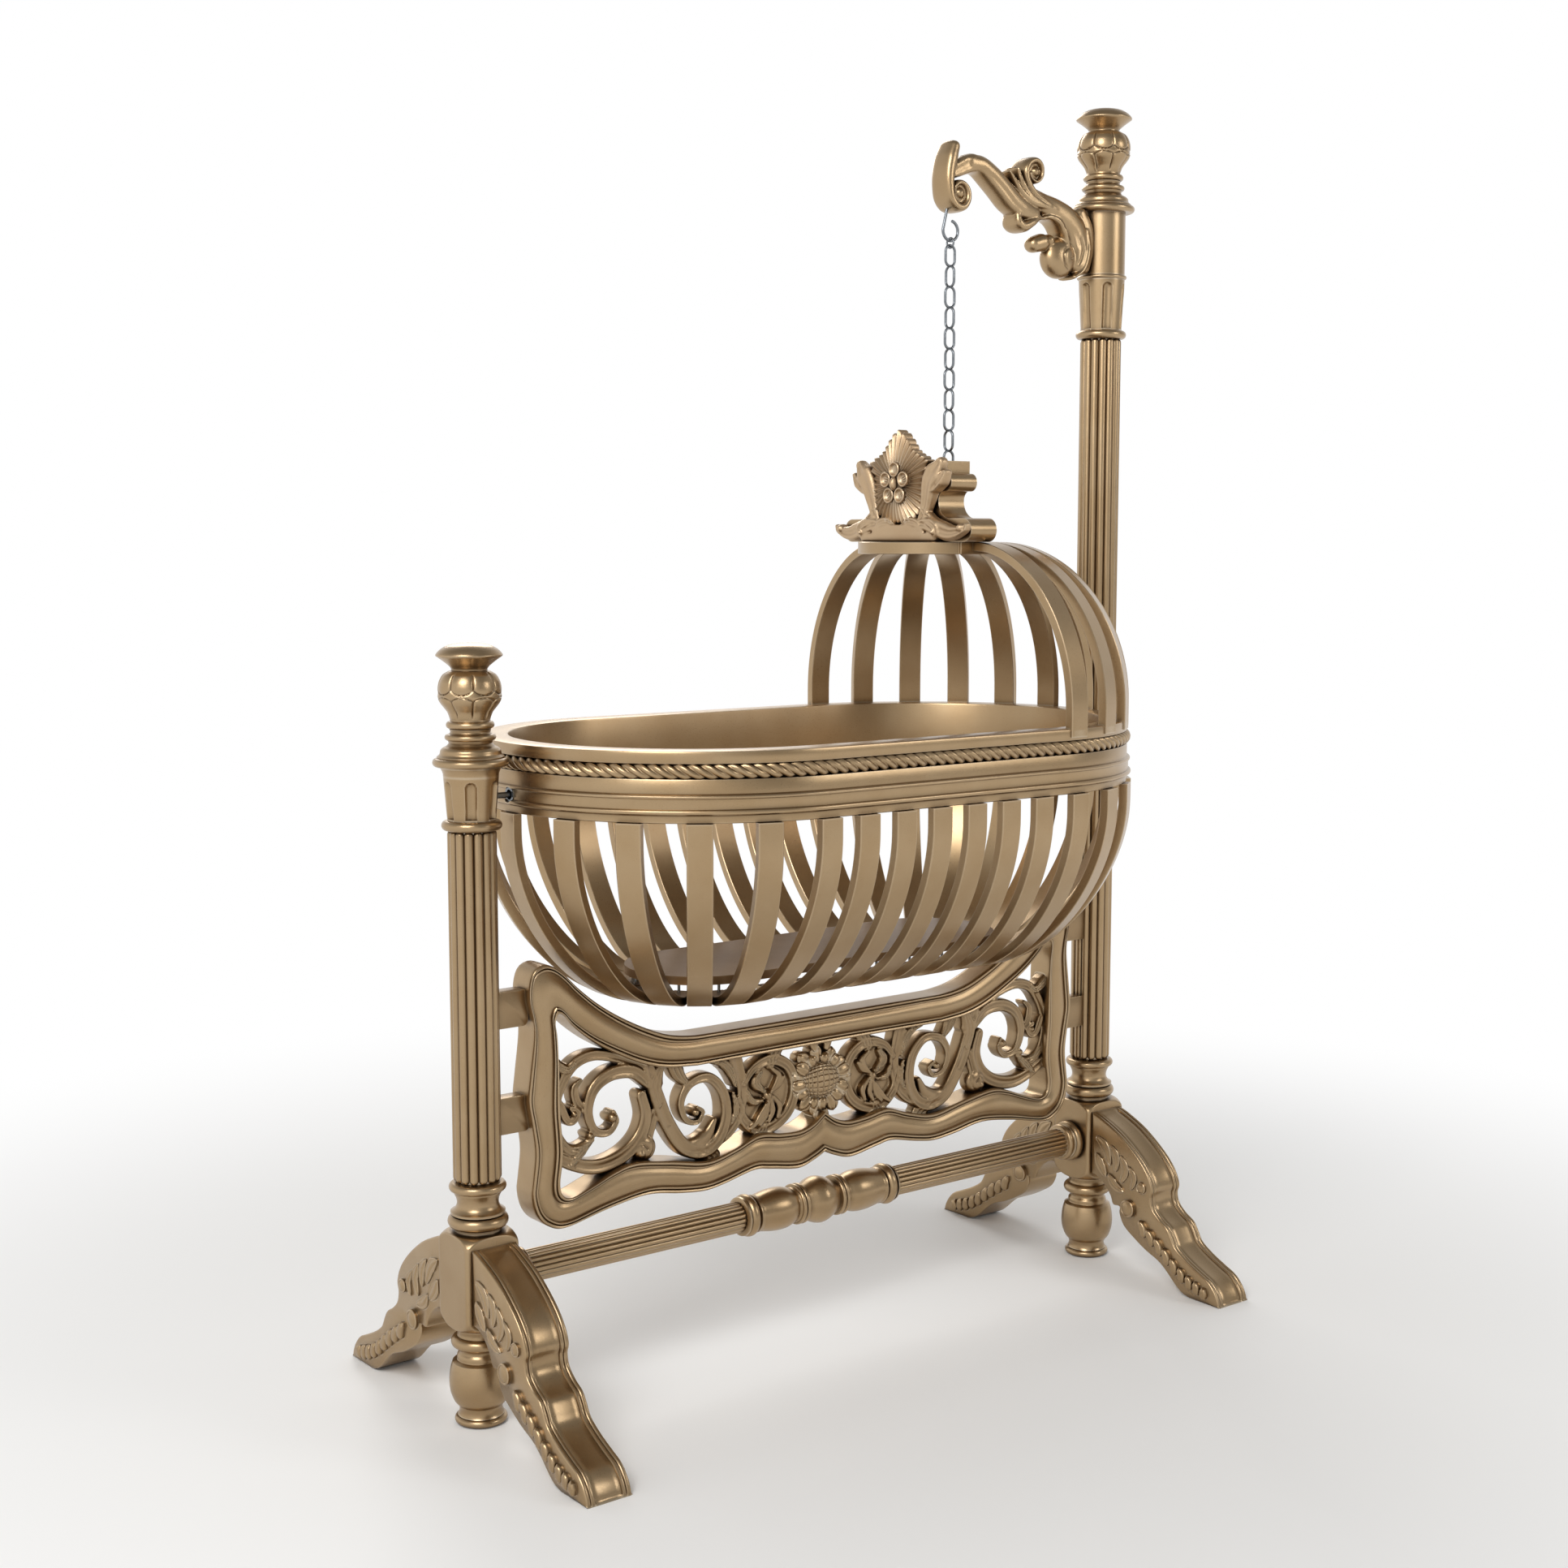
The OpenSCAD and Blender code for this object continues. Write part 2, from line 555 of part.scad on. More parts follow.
// Sunburst of pointed rays, taller than wide
SUN_Z = 85;
rays = 28;
function ray_r(i) = let (a = 90 + i * 180 / rays, up = sin(a))
    (60 + (up > 0 ? 19 * pow(up, 3) : 0) + 6 * abs(cos(a)) * (up > 0 ? 1 : -1))
        * (i % 2 == 0 ? 1 : 0.88);
module sunburst() translate([0, SUN_Z]) polygon([for (i = [0:2 * rays - 1])
    let (a = 90 + i * 180 / rays) ray_r(i) * [cos(a), sin(a)]]);
module ornament_outline() {
    sunburst();
    translate([-85, 0]) square([170, 14]);
    polygon([[-85, 13], [-50, 26], [50, 26], [85, 13]]);
    for (s = [0, 1]) mirror([s, 0]) {
        ribbon([[60, 12], [92, 20], [122, 18], [136, 15]], 22, 24);
        ribbon([[52, 30], [66, 54], [76, 78], [88, 96], [86, 110]], 26, 16);
        translate([92, 88]) circle(10, $fn = 32);
    }
}
module flower_relief() {
    circle(9);
    for (i = [0:5]) rotate(i * 60) translate([15, 0]) circle(9, $fn = 24);
}

// Chain
module ring_wire(r, d) rotate_extrude() translate([r, 0]) circle(d = d, $fn = 24);
module link() {
    inner = real_pitch + link_gap;
    bow = (link_w - chain_d) / 2;
    half = inner / 2 - bow + chain_d / 2;
    lap = 0.02;
    rotate([90, 0, 0]) {
        for (a = [0, 180]) rotate(a) translate([0, half, 0])
            rotate_extrude(angle = 180) translate([bow, 0]) circle(d = chain_d, $fn = 24);
        for (s = [-1, 1]) translate([s * bow, 0, 0]) rotate([90, 0, 0])
            linear_extrude(2 * half + lap, center = true) circle(d = chain_d, $fn = 24);
    }
}
function link_centre(k) = first_link_z - k * real_pitch - (real_pitch + link_gap) / 2;

// Pieces of the stand
module short_turned_foot() color(GOLD) at_short() turned_foot();
module tall_turned_foot() color(GOLD) at_tall() turned_foot();
module short_hub_block() color(GOLD) difference() {
    at_short() hub_block();
    translate([0, 0, stretcher_z]) stretcher_bores(fit);
}
module tall_hub_block() color(GOLD) difference() {
    at_tall() hub_block();
    translate([0, 0, stretcher_z]) stretcher_bores(fit);
}
module short_front_leg() color(GOLD) at_short() leg();
module short_back_leg() color(GOLD) at_short() mirror([0, 1, 0]) leg();
module tall_front_leg() color(GOLD) at_tall() leg();
module tall_back_leg() color(GOLD) at_tall() mirror([0, 1, 0]) leg();
module leg_bolts() color(STEEL) for (s = [-1, 1]) translate([s * post_x, 0, 0]) leg_bolt_pair(0);
module post_studs() color(STEEL) for (s = [-1, 1]) translate([s * post_x, 0, hub_z - 60])
    cylinder(d = stud_d, h = hub_h + 100);
module short_post() color(GOLD) difference() {
    at_short() {
        post_shaft(short_ring_z, short_capital_h);
        lathe([[34, short_top_z - 12 - joint_lap], [35.5, short_top_z - 9], [39, short_top_z - 3],
            [41, short_top_z]]);
    }
    at_short() stud_bore(base_z - 1, base_z + 42);
    at_short() stud_bore(short_top_z - 36, short_top_z + 1);
    mirror([1, 0, 0]) bracket_bores(fit);
    pivot_rod(fit);
}
module tall_post() color(GOLD) difference() {
    at_tall() {
        post_shaft(tall_ring_z, tall_capital_h);
        lathe(concat([[34, sleeve_z - 6 - joint_lap]], bead(sleeve_r + 3, sleeve_z - 3, 3),
            [[34, sleeve_z]]));
        translate([0, 0, sleeve_z - 1]) cylinder(r = spigot_r, h = sleeve_h + 1);
    }
    at_tall() stud_bore(base_z - 1, base_z + 42);
    at_tall() stud_bore(tall_top_z - 26, tall_top_z + 1);
    bracket_bores(fit);
    arm_bolt_pair(fit);
}
module short_post_finial() color(GOLD) at_short() finial(short_top_z);
module tall_post_finial() color(GOLD) at_tall() finial(tall_top_z);
module finial_dowels() color(DARK_GOLD) {
    at_short() translate([0, 0, short_top_z - 35]) cylinder(d = stud_d, h = 75);
    at_tall() translate([0, 0, tall_top_z - 25]) cylinder(d = stud_d, h = 65);
}
module stretcher_left_rail() color(GOLD) mirror([1, 0, 0]) stretcher_rail();
module stretcher_right_rail() color(GOLD) stretcher_rail();
module stretcher_turning() color(GOLD) translate([0, 0, stretcher_z]) difference() {
    for (s = [-90, 90]) rotate([0, s, 0]) rotate_extrude() turning_half_profile();
    stretcher_bores(fit);
}
module stretcher_dowels() color(DARK_GOLD) translate([0, 0, stretcher_z]) intersection() {
    stretcher_bores(0);
    cube([2 * (stretcher_end + 24), 40, 40], center = true);
}
module panel_frame() color(GOLD) difference() {
    translate([0, 0, panel_z]) upright(panel_t) difference() {
        panel_outer();
        panel_inner();
    }
    for (s = [0, 1]) mirror([s, 0, 0]) bracket_bores(fit);
}
module panel_scrollwork_right() color(DARK_GOLD) scrollwork();
module panel_scrollwork_left() color(DARK_GOLD) mirror([1, 0, 0]) scrollwork();
module panel_flower() color(GOLD) translate([0, 0, panel_z]) upright(scroll_t + 8) intersection() {
    flower_outline();
    panel_inner();
}
module left_brackets() color(DARK_GOLD) mirror([1, 0, 0]) for (z = bracket_zs) bracket(z);
module right_brackets() color(DARK_GOLD) for (z = bracket_zs) bracket(z);
module bracket_screws() color(STEEL) for (s = [0, 1]) mirror([s, 0, 0]) bracket_bores(0);
module arm_sleeve() color(GOLD) difference() {
    at_tall() translate([0, 0, sleeve_z]) difference() {
        cylinder(r = sleeve_r, h = sleeve_h);
        translate([0, 0, -1]) cylinder(r = spigot_r + fit, h = sleeve_h + 2);
    }
    arm_bolt_pair(fit);
}
module scroll_arm() color(GOLD) difference() {
    at_tall() translate([0, 0, sleeve_z]) mirror([1, 0, 0]) upright(arm_t) arm_outline();
    at_tall() translate([0, 0, sleeve_z - 20]) cylinder(r = sleeve_r, h = sleeve_h + 20);
    arm_bolt_pair(fit);
    hook_shank(fit);
}
module arm_bolts() color(STEEL) arm_bolt_pair(0);
module chain_hook() color(STEEL) {
    hook_shank(0);
    translate([hook_x, 0, hook_z]) rotate([90, 0, 0]) rotate(166)
        rotate_extrude(angle = 272) translate([hook_r, 0]) circle(d = hook_d, $fn = 24);
}
module pivot_stud() color(STEEL) {
    pivot_rod(0);
    translate([pivot_x, 0, pivot_z]) sphere(ball_r);
}

// Pieces of the swinging basket
module rim_section() difference() {
    polygon(concat([[rim_r - rim_t, rim_z], [rim_r - 4, rim_z], [rim_r - 4, rim_z + 6]],
        lowered(bead(rim_r + 6, 15, 7.3), rim_z), lowered(bead(rim_r + 6, 35, 7.3), rim_z),
        [[rim_r, rim_z + 44], [rim_r, rim_top - 2], [rim_r - 2, rim_top],
        [rim_r - rim_t + 3, rim_top], [rim_r - rim_t, rim_top - 3]]));
    translate([rope_r, rope_z]) circle(d = rope_d + 2 * fit, $fn = 48);
}
module rim_band() color(GOLD) difference() {
    round_rim() rim_section();
    translate([pivot_x - 20, 0, pivot_z]) along_x() cylinder(r = ball_r + 4, h = 35);
    at_head_end() for (k = [0:head_slats - 1]) rotate(head_angle(k)) {
        hood_screw(fit);
        rib_notch();
    }
}
module rope_moulding() color(GOLD) round_rim() translate([rope_r, rope_z])
    circle(d = rope_d, $fn = 48);
module front_slats() color(GOLD) side_slat_row();
module back_slats() color(GOLD) mirror([0, 1, 0]) side_slat_row();
module foot_end_slats() color(GOLD) at_foot_end() for (k = [-foot_half:foot_half])
    end_slat(foot_angle(k), foot_step / 2);
module head_end_slats() color(GOLD) at_head_end() for (k = [0:head_slats - 1])
    end_slat(head_angle(k), head_step / 2);
module all_slat_spots() {
    for (s = [0, 1]) mirror([0, s, 0]) for (k = [0:side_slats - 1])
        translate([side_x(k), 0, 0]) rotate(-90) children();
    at_foot_end() for (k = [-foot_half:foot_half]) rotate(foot_angle(k)) children();
    at_head_end() for (k = [0:head_slats - 1]) rotate(head_angle(k)) children();
}
module base_board() color(DARK_GOLD) difference() {
    translate([0, 0, board_z]) linear_extrude(board_t) stadium(board_half);
    all_slat_spots() slat_hole(screw_r, board_z - 1, board_t - 2, fit);
}
module base_screws() color(STEEL) all_slat_spots()
    slat_hole(screw_r, slat_low, slat_t + board_t - 4, 0);
module hood_ribs() color(GOLD) difference() {
    at_head_end() for (k = [0:head_slats - 1]) hood_rib(head_angle(k));
    plate_solid(1);
}
module hood_screws() color(STEEL) at_head_end() for (k = [0:head_slats - 1])
    rotate(head_angle(k)) hood_screw(0);
module crown_plate() color(GOLD) difference() {
    plate_solid(0);
    eye_shank(fit);
}
module crown_pedestal() color(GOLD) translate([pedestal_front, 0, hood_top]) rotate([90, 0, 90])
    linear_extrude(pedestal_depth) pedestal_outline();
module crown_ornament() color(GOLD) translate([pedestal_front - ornament_t, 0, hood_top])
    rotate([90, 0, 90]) {
        linear_extrude(ornament_t) ornament_outline();
        translate([0, SUN_Z, -6]) linear_extrude(7) flower_relief();
    }
module eye_shank(extra) translate([hook_x, 0, hood_top - 12])
    cylinder(d = chain_d + 2 * extra, h = 15);
module chain_eye() color(STEEL) {
    translate([hook_x, 0, hood_top - 12]) cylinder(d = chain_d, h = 14);
    translate([hook_x, 0, eye_z]) rotate([90, 0, links % 2 == 0 ? 0 : 90])
        ring_wire(eye_r, chain_d);
}
module chain_links() color(STEEL) for (k = [0:links - 1])
    translate([hook_x, 0, link_centre(k)]) rotate(k % 2 == 0 ? 0 : 90) link();
module chain_ring() color(STEEL) translate([hook_x, 0, ring_z]) along_x()
    ring_wire(ring_in + ring_tube, 2 * ring_tube);
module pivot_socket() color(STEEL) translate([pivot_x, 0, pivot_z]) along_x() difference() {
    translate([0, 0, -13]) cylinder(r = ball_r + 4 - fit, h = 28);
    translate([0, 0, -14]) cylinder(r = ball_r + clearance, h = 24);
}

short_turned_foot();
tall_turned_foot();
short_hub_block();
tall_hub_block();
short_front_leg();
short_back_leg();
tall_front_leg();
tall_back_leg();
leg_bolts();
post_studs();
short_post();
tall_post();
short_post_finial();
tall_post_finial();
finial_dowels();
stretcher_left_rail();
stretcher_turning();
stretcher_right_rail();
stretcher_dowels();
panel_frame();
panel_scrollwork_left();
panel_scrollwork_right();
panel_flower();
left_brackets();
right_brackets();
bracket_screws();
arm_sleeve();
scroll_arm();
arm_bolts();
chain_hook();
pivot_stud();
rim_band();
rope_moulding();
front_slats();
back_slats();
foot_end_slats();
head_end_slats();
base_board();
base_screws();
hood_ribs();
hood_screws();
crown_plate();
crown_pedestal();
crown_ornament();
chain_eye();
chain_links();
chain_ring();
pivot_socket();
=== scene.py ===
"""Looks of a carved swinging cradle in gold-painted wood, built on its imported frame, in metres."""
import logging
import math
from contextlib import contextmanager
from dataclasses import dataclass
from enum import Enum
from typing import Callable, Iterator, Optional, Sequence, Union

import bmesh
import bpy
import numpy as np
from bpy.types import Material, Mesh, Node, NodeSocket, NodeTree, Object
from mathutils import Matrix, Vector


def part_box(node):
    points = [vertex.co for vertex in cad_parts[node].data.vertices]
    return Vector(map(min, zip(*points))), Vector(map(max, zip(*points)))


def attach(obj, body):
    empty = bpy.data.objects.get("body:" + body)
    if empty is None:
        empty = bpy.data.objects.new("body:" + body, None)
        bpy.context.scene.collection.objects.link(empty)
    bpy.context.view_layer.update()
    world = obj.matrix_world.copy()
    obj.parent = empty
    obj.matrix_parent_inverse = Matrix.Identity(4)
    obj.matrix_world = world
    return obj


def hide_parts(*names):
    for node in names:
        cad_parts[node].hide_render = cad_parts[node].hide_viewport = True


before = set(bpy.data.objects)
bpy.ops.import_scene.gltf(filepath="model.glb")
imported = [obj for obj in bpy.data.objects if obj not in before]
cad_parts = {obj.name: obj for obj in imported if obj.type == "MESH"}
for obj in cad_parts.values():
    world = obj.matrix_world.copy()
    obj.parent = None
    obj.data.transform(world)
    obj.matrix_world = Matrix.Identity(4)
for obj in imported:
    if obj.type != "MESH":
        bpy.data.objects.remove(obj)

LOG = logging.getLogger("cradle")
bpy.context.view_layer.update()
MM = 0.001
WELD = 2e-6
SMOOTH_ANGLE = 38.0
Placing = Callable[[np.ndarray], np.ndarray]
Points = Sequence[Sequence[float]]
Side = Union[float, NodeSocket]
Colour = Union[str, NodeSocket]

POST_X = 570.0
HALF_STRAIGHT = 212.0
RIM_R = 299.0
RIM_Z = 815.0
RIM_TOP = 907.0
SLAT_LOW = 555.0
HOOD_TOP = 1168.0
PANEL_Z = 246.0
STRETCHER_Z = 197.0
PIVOT = (-501.0, 0.0, 839.0)


class Body(Enum):
    """The two bodies that the swing joint connects."""

    STAND = "stand"
    BASKET = "basket"


class Slot(Enum):
    """Material slots of the record."""

    GOLD = "gold_paint"
    CARVED = "carved_gold"
    WOOD = "bare_wood"
    STEEL = "steel"


def linear(colour: str) -> tuple[float, float, float, float]:
    """Turns an sRGB hex colour to linear light.

    Args:
        colour: The colour as six hex digits after a #.

    Returns:
        Red, green, blue and alpha.
    """
    parts = [int(colour[i:i + 2], 16) / 255 for i in (1, 3, 5)]
    red, green, blue = (c / 12.92 if c <= 0.04045 else ((c + 0.055) / 1.055) ** 2.4 for c in parts)
    return red, green, blue, 1.0


def add_node(tree: NodeTree, kind: str, settings: Optional[dict] = None,
             links: Optional[dict] = None) -> Node:
    """Adds a node to a tree, sets it and links its inputs.

    Args:
        tree: The shader or geometry tree.
        kind: The node's type.
        settings: Values of the node's properties, or else of its inputs by name or number.
        links: Output sockets to link to its inputs, by name or number.

    Returns:
        The new node.
    """
    node = tree.nodes.new(kind)
    for key, value in (settings or {}).items():
        if isinstance(key, str) and hasattr(node, key):
            setattr(node, key, value)
        else:
            node.inputs[key].default_value = value
    for key, socket in (links or {}).items():
        tree.links.new(socket, node.inputs[key])
    return node


# Lines and sections, in millimetres


def curve(points: Points, steps: int = 4) -> np.ndarray:
    """Draws a smooth curve through chosen points.

    Args:
        points: The points, in any number of dimensions.
        steps: Steps between two points.

    Returns:
        The curve's points.
    """
    p = np.asarray(points, float)
    p = np.vstack([2 * p[0] - p[1], p, 2 * p[-1] - p[-2]])
    t = np.linspace(0, 1, steps, endpoint=False)[:, None]
    parts = [0.5 * (2 * b + (c - a) * t + (2 * a - 5 * b + 4 * c - d) * t ** 2
                    + (3 * b - a - 3 * c + d) * t ** 3)
             for a, b, c, d in zip(p, p[1:], p[2:], p[3:])]
    return np.vstack(parts + [p[-2:-1]])


def even(line: np.ndarray, count: int) -> np.ndarray:
    """Spreads points evenly along a line.

    Args:
        line: The line's points.
        count: How many points to return.

    Returns:
        The evenly spread points.
    """
    walked = np.concatenate([[0], np.cumsum(np.linalg.norm(np.diff(line, axis=0), axis=1))])
    at = np.linspace(0, walked[-1], count)
    return np.stack([np.interp(at, walked, line[:, k]) for k in range(line.shape[1])], -1)


def bead(radius: float, z: float, half: float) -> np.ndarray:
    """Section of a turned bead: its outer radius, its height and its half height."""
    a = np.radians(np.arange(-90, 91, 15))
    return np.stack([radius - half + half * np.cos(a), z + half * np.sin(a)], -1)


def bezier(points: Points, count: int) -> np.ndarray:
    """Points of a cubic Bezier curve.

    Args:
        points: Its four control points.
        count: How many points to return.

    Returns:
        The curve's points.
    """
    a, b, c, d = (np.asarray(p, float) for p in points)
    t = np.linspace(0, 1, count)[:, None]
    return (1 - t) ** 3 * a + 3 * t * (1 - t) ** 2 * b + 3 * t * t * (1 - t) * c + t ** 3 * d


def headings(line: np.ndarray) -> np.ndarray:
    """Unit directions along a flat line."""
    d = np.gradient(line, axis=0)
    return d / np.maximum(np.linalg.norm(d, axis=1, keepdims=True), 1e-9)


def left_of(heading: np.ndarray) -> np.ndarray:
    """Flat directions at right angles to others, to their left."""
    return np.stack([-heading[:, 1], heading[:, 0]], -1)


def circle(steps: int) -> np.ndarray:
    """Angles of even steps round a full circle."""
    return np.linspace(0, 2 * np.pi, steps, endpoint=False)


def at_post(x: float) -> Placing:
    """Places a turned piece on a post's axis."""
    return lambda p: p + np.array([x, 0, 0])


def along_x(z: float) -> Placing:
    """Lays an upright turned piece along X at a height."""
    return lambda p: np.stack([p[..., 2], p[..., 0], p[..., 1] + z], -1)


def facing_front(z: float) -> Placing:
    """Stands flat carving, drawn as (across, up, depth), in the plane of the posts at a height."""
    return lambda p: np.stack([p[..., 0], p[..., 2], p[..., 1] + z], -1)


def shift(offset: Sequence[float]) -> Matrix:
    """Matrix that moves a mesh by millimetres."""
    return Matrix.Translation([v * MM for v in offset])


def turn_z(degrees: float) -> Matrix:
    """Matrix that turns a mesh about the upright axis."""
    return Matrix.Rotation(math.radians(degrees), 4, "Z")


def mirrored(mesh: Mesh, signs: Sequence[int]) -> Mesh:
    """Copies a mesh with the signs of its coordinates changed and its faces outwards.

    Args:
        mesh: The mesh.
        signs: 1 or -1 for each axis.

    Returns:
        The copy.
    """
    made = mesh.copy()
    made.transform(Matrix.Diagonal((*signs, 1)))
    made.flip_normals()
    return made


def in_scene(name: str, data: bpy.types.ID) -> Object:
    """Makes an object of a mesh, camera or lamp and links it to the scene.

    Args:
        name: Its name.
        data: Its data.

    Returns:
        The object.
    """
    obj = bpy.data.objects.new(name, data)
    bpy.context.scene.collection.objects.link(obj)
    return obj


def evaluated(holder: Object) -> Mesh:
    """Takes the plain mesh that an object's modifier makes and removes the object.

    Args:
        holder: The object.

    Returns:
        The mesh.
    """
    bpy.context.view_layer.update()
    graph = bpy.context.evaluated_depsgraph_get()
    made = bpy.data.meshes.new_from_object(holder.evaluated_get(graph), depsgraph=graph)
    bpy.data.objects.remove(holder)
    return made


@contextmanager
def editing(mesh: Mesh) -> Iterator[bmesh.types.BMesh]:
    """Opens a mesh for bmesh operations and writes their result back.

    Args:
        mesh: The mesh.

    Yields:
        Its bmesh.
    """
    work = bmesh.new()
    work.from_mesh(mesh)
    yield work
    work.to_mesh(mesh)
    work.free()


def smoothed(mesh: Mesh, sharp: float = SMOOTH_ANGLE) -> Mesh:
    """Shades a mesh smooth, apart from edges sharper than an angle in degrees.

    Args:
        mesh: The mesh.
        sharp: The angle.

    Returns:
        The same mesh.
    """
    mesh.shade_smooth()
    mesh.set_sharp_from_angle(angle=math.radians(sharp))
    return mesh


class Shell:
    """The surfaces of one piece, in millimetres, gathered before they become a mesh."""

    def __init__(self) -> None:
        """Starts an empty shell."""
        self.points: list[np.ndarray] = []
        self.faces: list[list[int]] = []
        self.count = 0

    def add(self, points: np.ndarray, faces: list[list[int]], place: Optional[Placing] = None) -> "Shell":
        """Adds points and faces.

        Args:
            points: The points, three numbers each.
            faces: Indices into the points.
            place: Puts the points in their place.

        Returns:
            The shell itself.
        """
        flat = np.asarray(points, float).reshape(-1, 3)
        self.faces += [[self.count + i for i in face] for face in faces]
        self.points.append(place(flat) if place else flat)
        self.count += len(flat)
        return self

    def loft(self, rings: np.ndarray, round_trip: bool = False, place: Optional[Placing] = None) -> "Shell":
        """Joins closed rings of points into a skin.

        Args:
            rings: Rings of points, as (ring, point, xyz).
            round_trip: Whether the last ring meets the first; otherwise both ends are closed.
            place: Puts the points in their place.

        Returns:
            The shell itself.
        """
        n, m = rings.shape[:2]
        faces = []
        for i in range(n if round_trip else n - 1):
            a, b = i * m, (i + 1) % n * m
            faces += [[a + j, a + (j + 1) % m, b + (j + 1) % m, b + j] for j in range(m)]
        if not round_trip:
            faces += [list(range(m))[::-1], list(range((n - 1) * m, n * m))]
        return self.add(rings, faces, place)

    def revolve(self, profile: np.ndarray, steps: int = 72, place: Optional[Placing] = None,
                shape: Optional[Callable] = None) -> "Shell":
        """Turns a section of (radius, height) about the upright axis.

        Args:
            profile: The section from one end of the axis to the other.
            steps: Steps round the axis.
            place: Puts the points in their place.
            shape: Gives the carved radius from angle, height and turned radius.

        Returns:
            The shell itself.
        """
        angle = circle(steps)[None, :]
        radius = np.repeat(profile[:, :1], steps, 1)
        height = np.repeat(profile[:, 1:2], steps, 1)
        if shape:
            radius = shape(angle, height, radius)
        return self.loft(np.stack([radius * np.cos(angle), radius * np.sin(angle), height], -1), place=place)

    def button(self, x: float, y: float, radius: float, depth: float, place: Placing) -> None:
        """Adds a domed boss with a rim on both sides of flat carving.

        Args:
            x: Its place across.
            y: Its place up.
            radius: Its radius.
            depth: How far its dome stands from the middle plane.
            place: Puts the points in their place.
        """
        r = np.array([0.06, 0.35, 0.6, 0.72, 0.78, 0.86, 0.94, 1.0, 1.0]) * radius
        h = np.array([1.0, 0.96, 0.84, 0.7, 0.66, 0.78, 0.74, 0.6, 0.3]) * depth
        profile = np.vstack([np.stack([r, -h], -1), np.stack([r, h], -1)[::-1]])
        self.revolve(profile, 20, lambda p: place(p + np.array([x, y, 0])))

    def mesh(self, name: str, sharp: float = SMOOTH_ANGLE) -> Mesh:
        """Makes the mesh, in metres, with faces outwards.

        Args:
            name: The mesh's name.
            sharp: Angle in degrees from which an edge stays sharp.

        Returns:
            The mesh.
        """
        made = bpy.data.meshes.new(name)
        made.from_pydata((np.vstack(self.points) * MM).tolist(), [], self.faces)
        with editing(made) as work:
            bmesh.ops.remove_doubles(work, verts=work.verts, dist=WELD)
            bmesh.ops.recalc_face_normals(work, faces=work.faces)
        return smoothed(made, sharp)


def joined(name: str, meshes: Sequence[Mesh], sharp: float = SMOOTH_ANGLE) -> Mesh:
    """Gathers several meshes in one.

    Args:
        name: The new mesh's name.
        meshes: The meshes.
        sharp: Angle in degrees from which an edge stays sharp.

    Returns:
        The one mesh.
    """
    made = bpy.data.meshes.new(name)
    with editing(made) as work:
        for part in meshes:
            work.from_mesh(part)
    return smoothed(made, sharp)


def reed(core: float, radii: np.ndarray, heights: np.ndarray, steps: int,
         place: Optional[Placing] = None) -> Mesh:
    """Builds a rod of radii at heights, beside the upright axis by a distance.

    Args:
        core: The distance.
        radii: The radii.
        heights: The heights.
        steps: Steps round the rod.
        place: Puts its points in their place.

    Returns:
        Its mesh.
    """
    a, r = circle(steps), radii[:, None]
    return Shell().loft(np.stack([core + r * np.cos(a), r * np.sin(a), np.repeat(heights[:, None], steps, 1)], -1),
                        place=place).mesh("reed", 60)


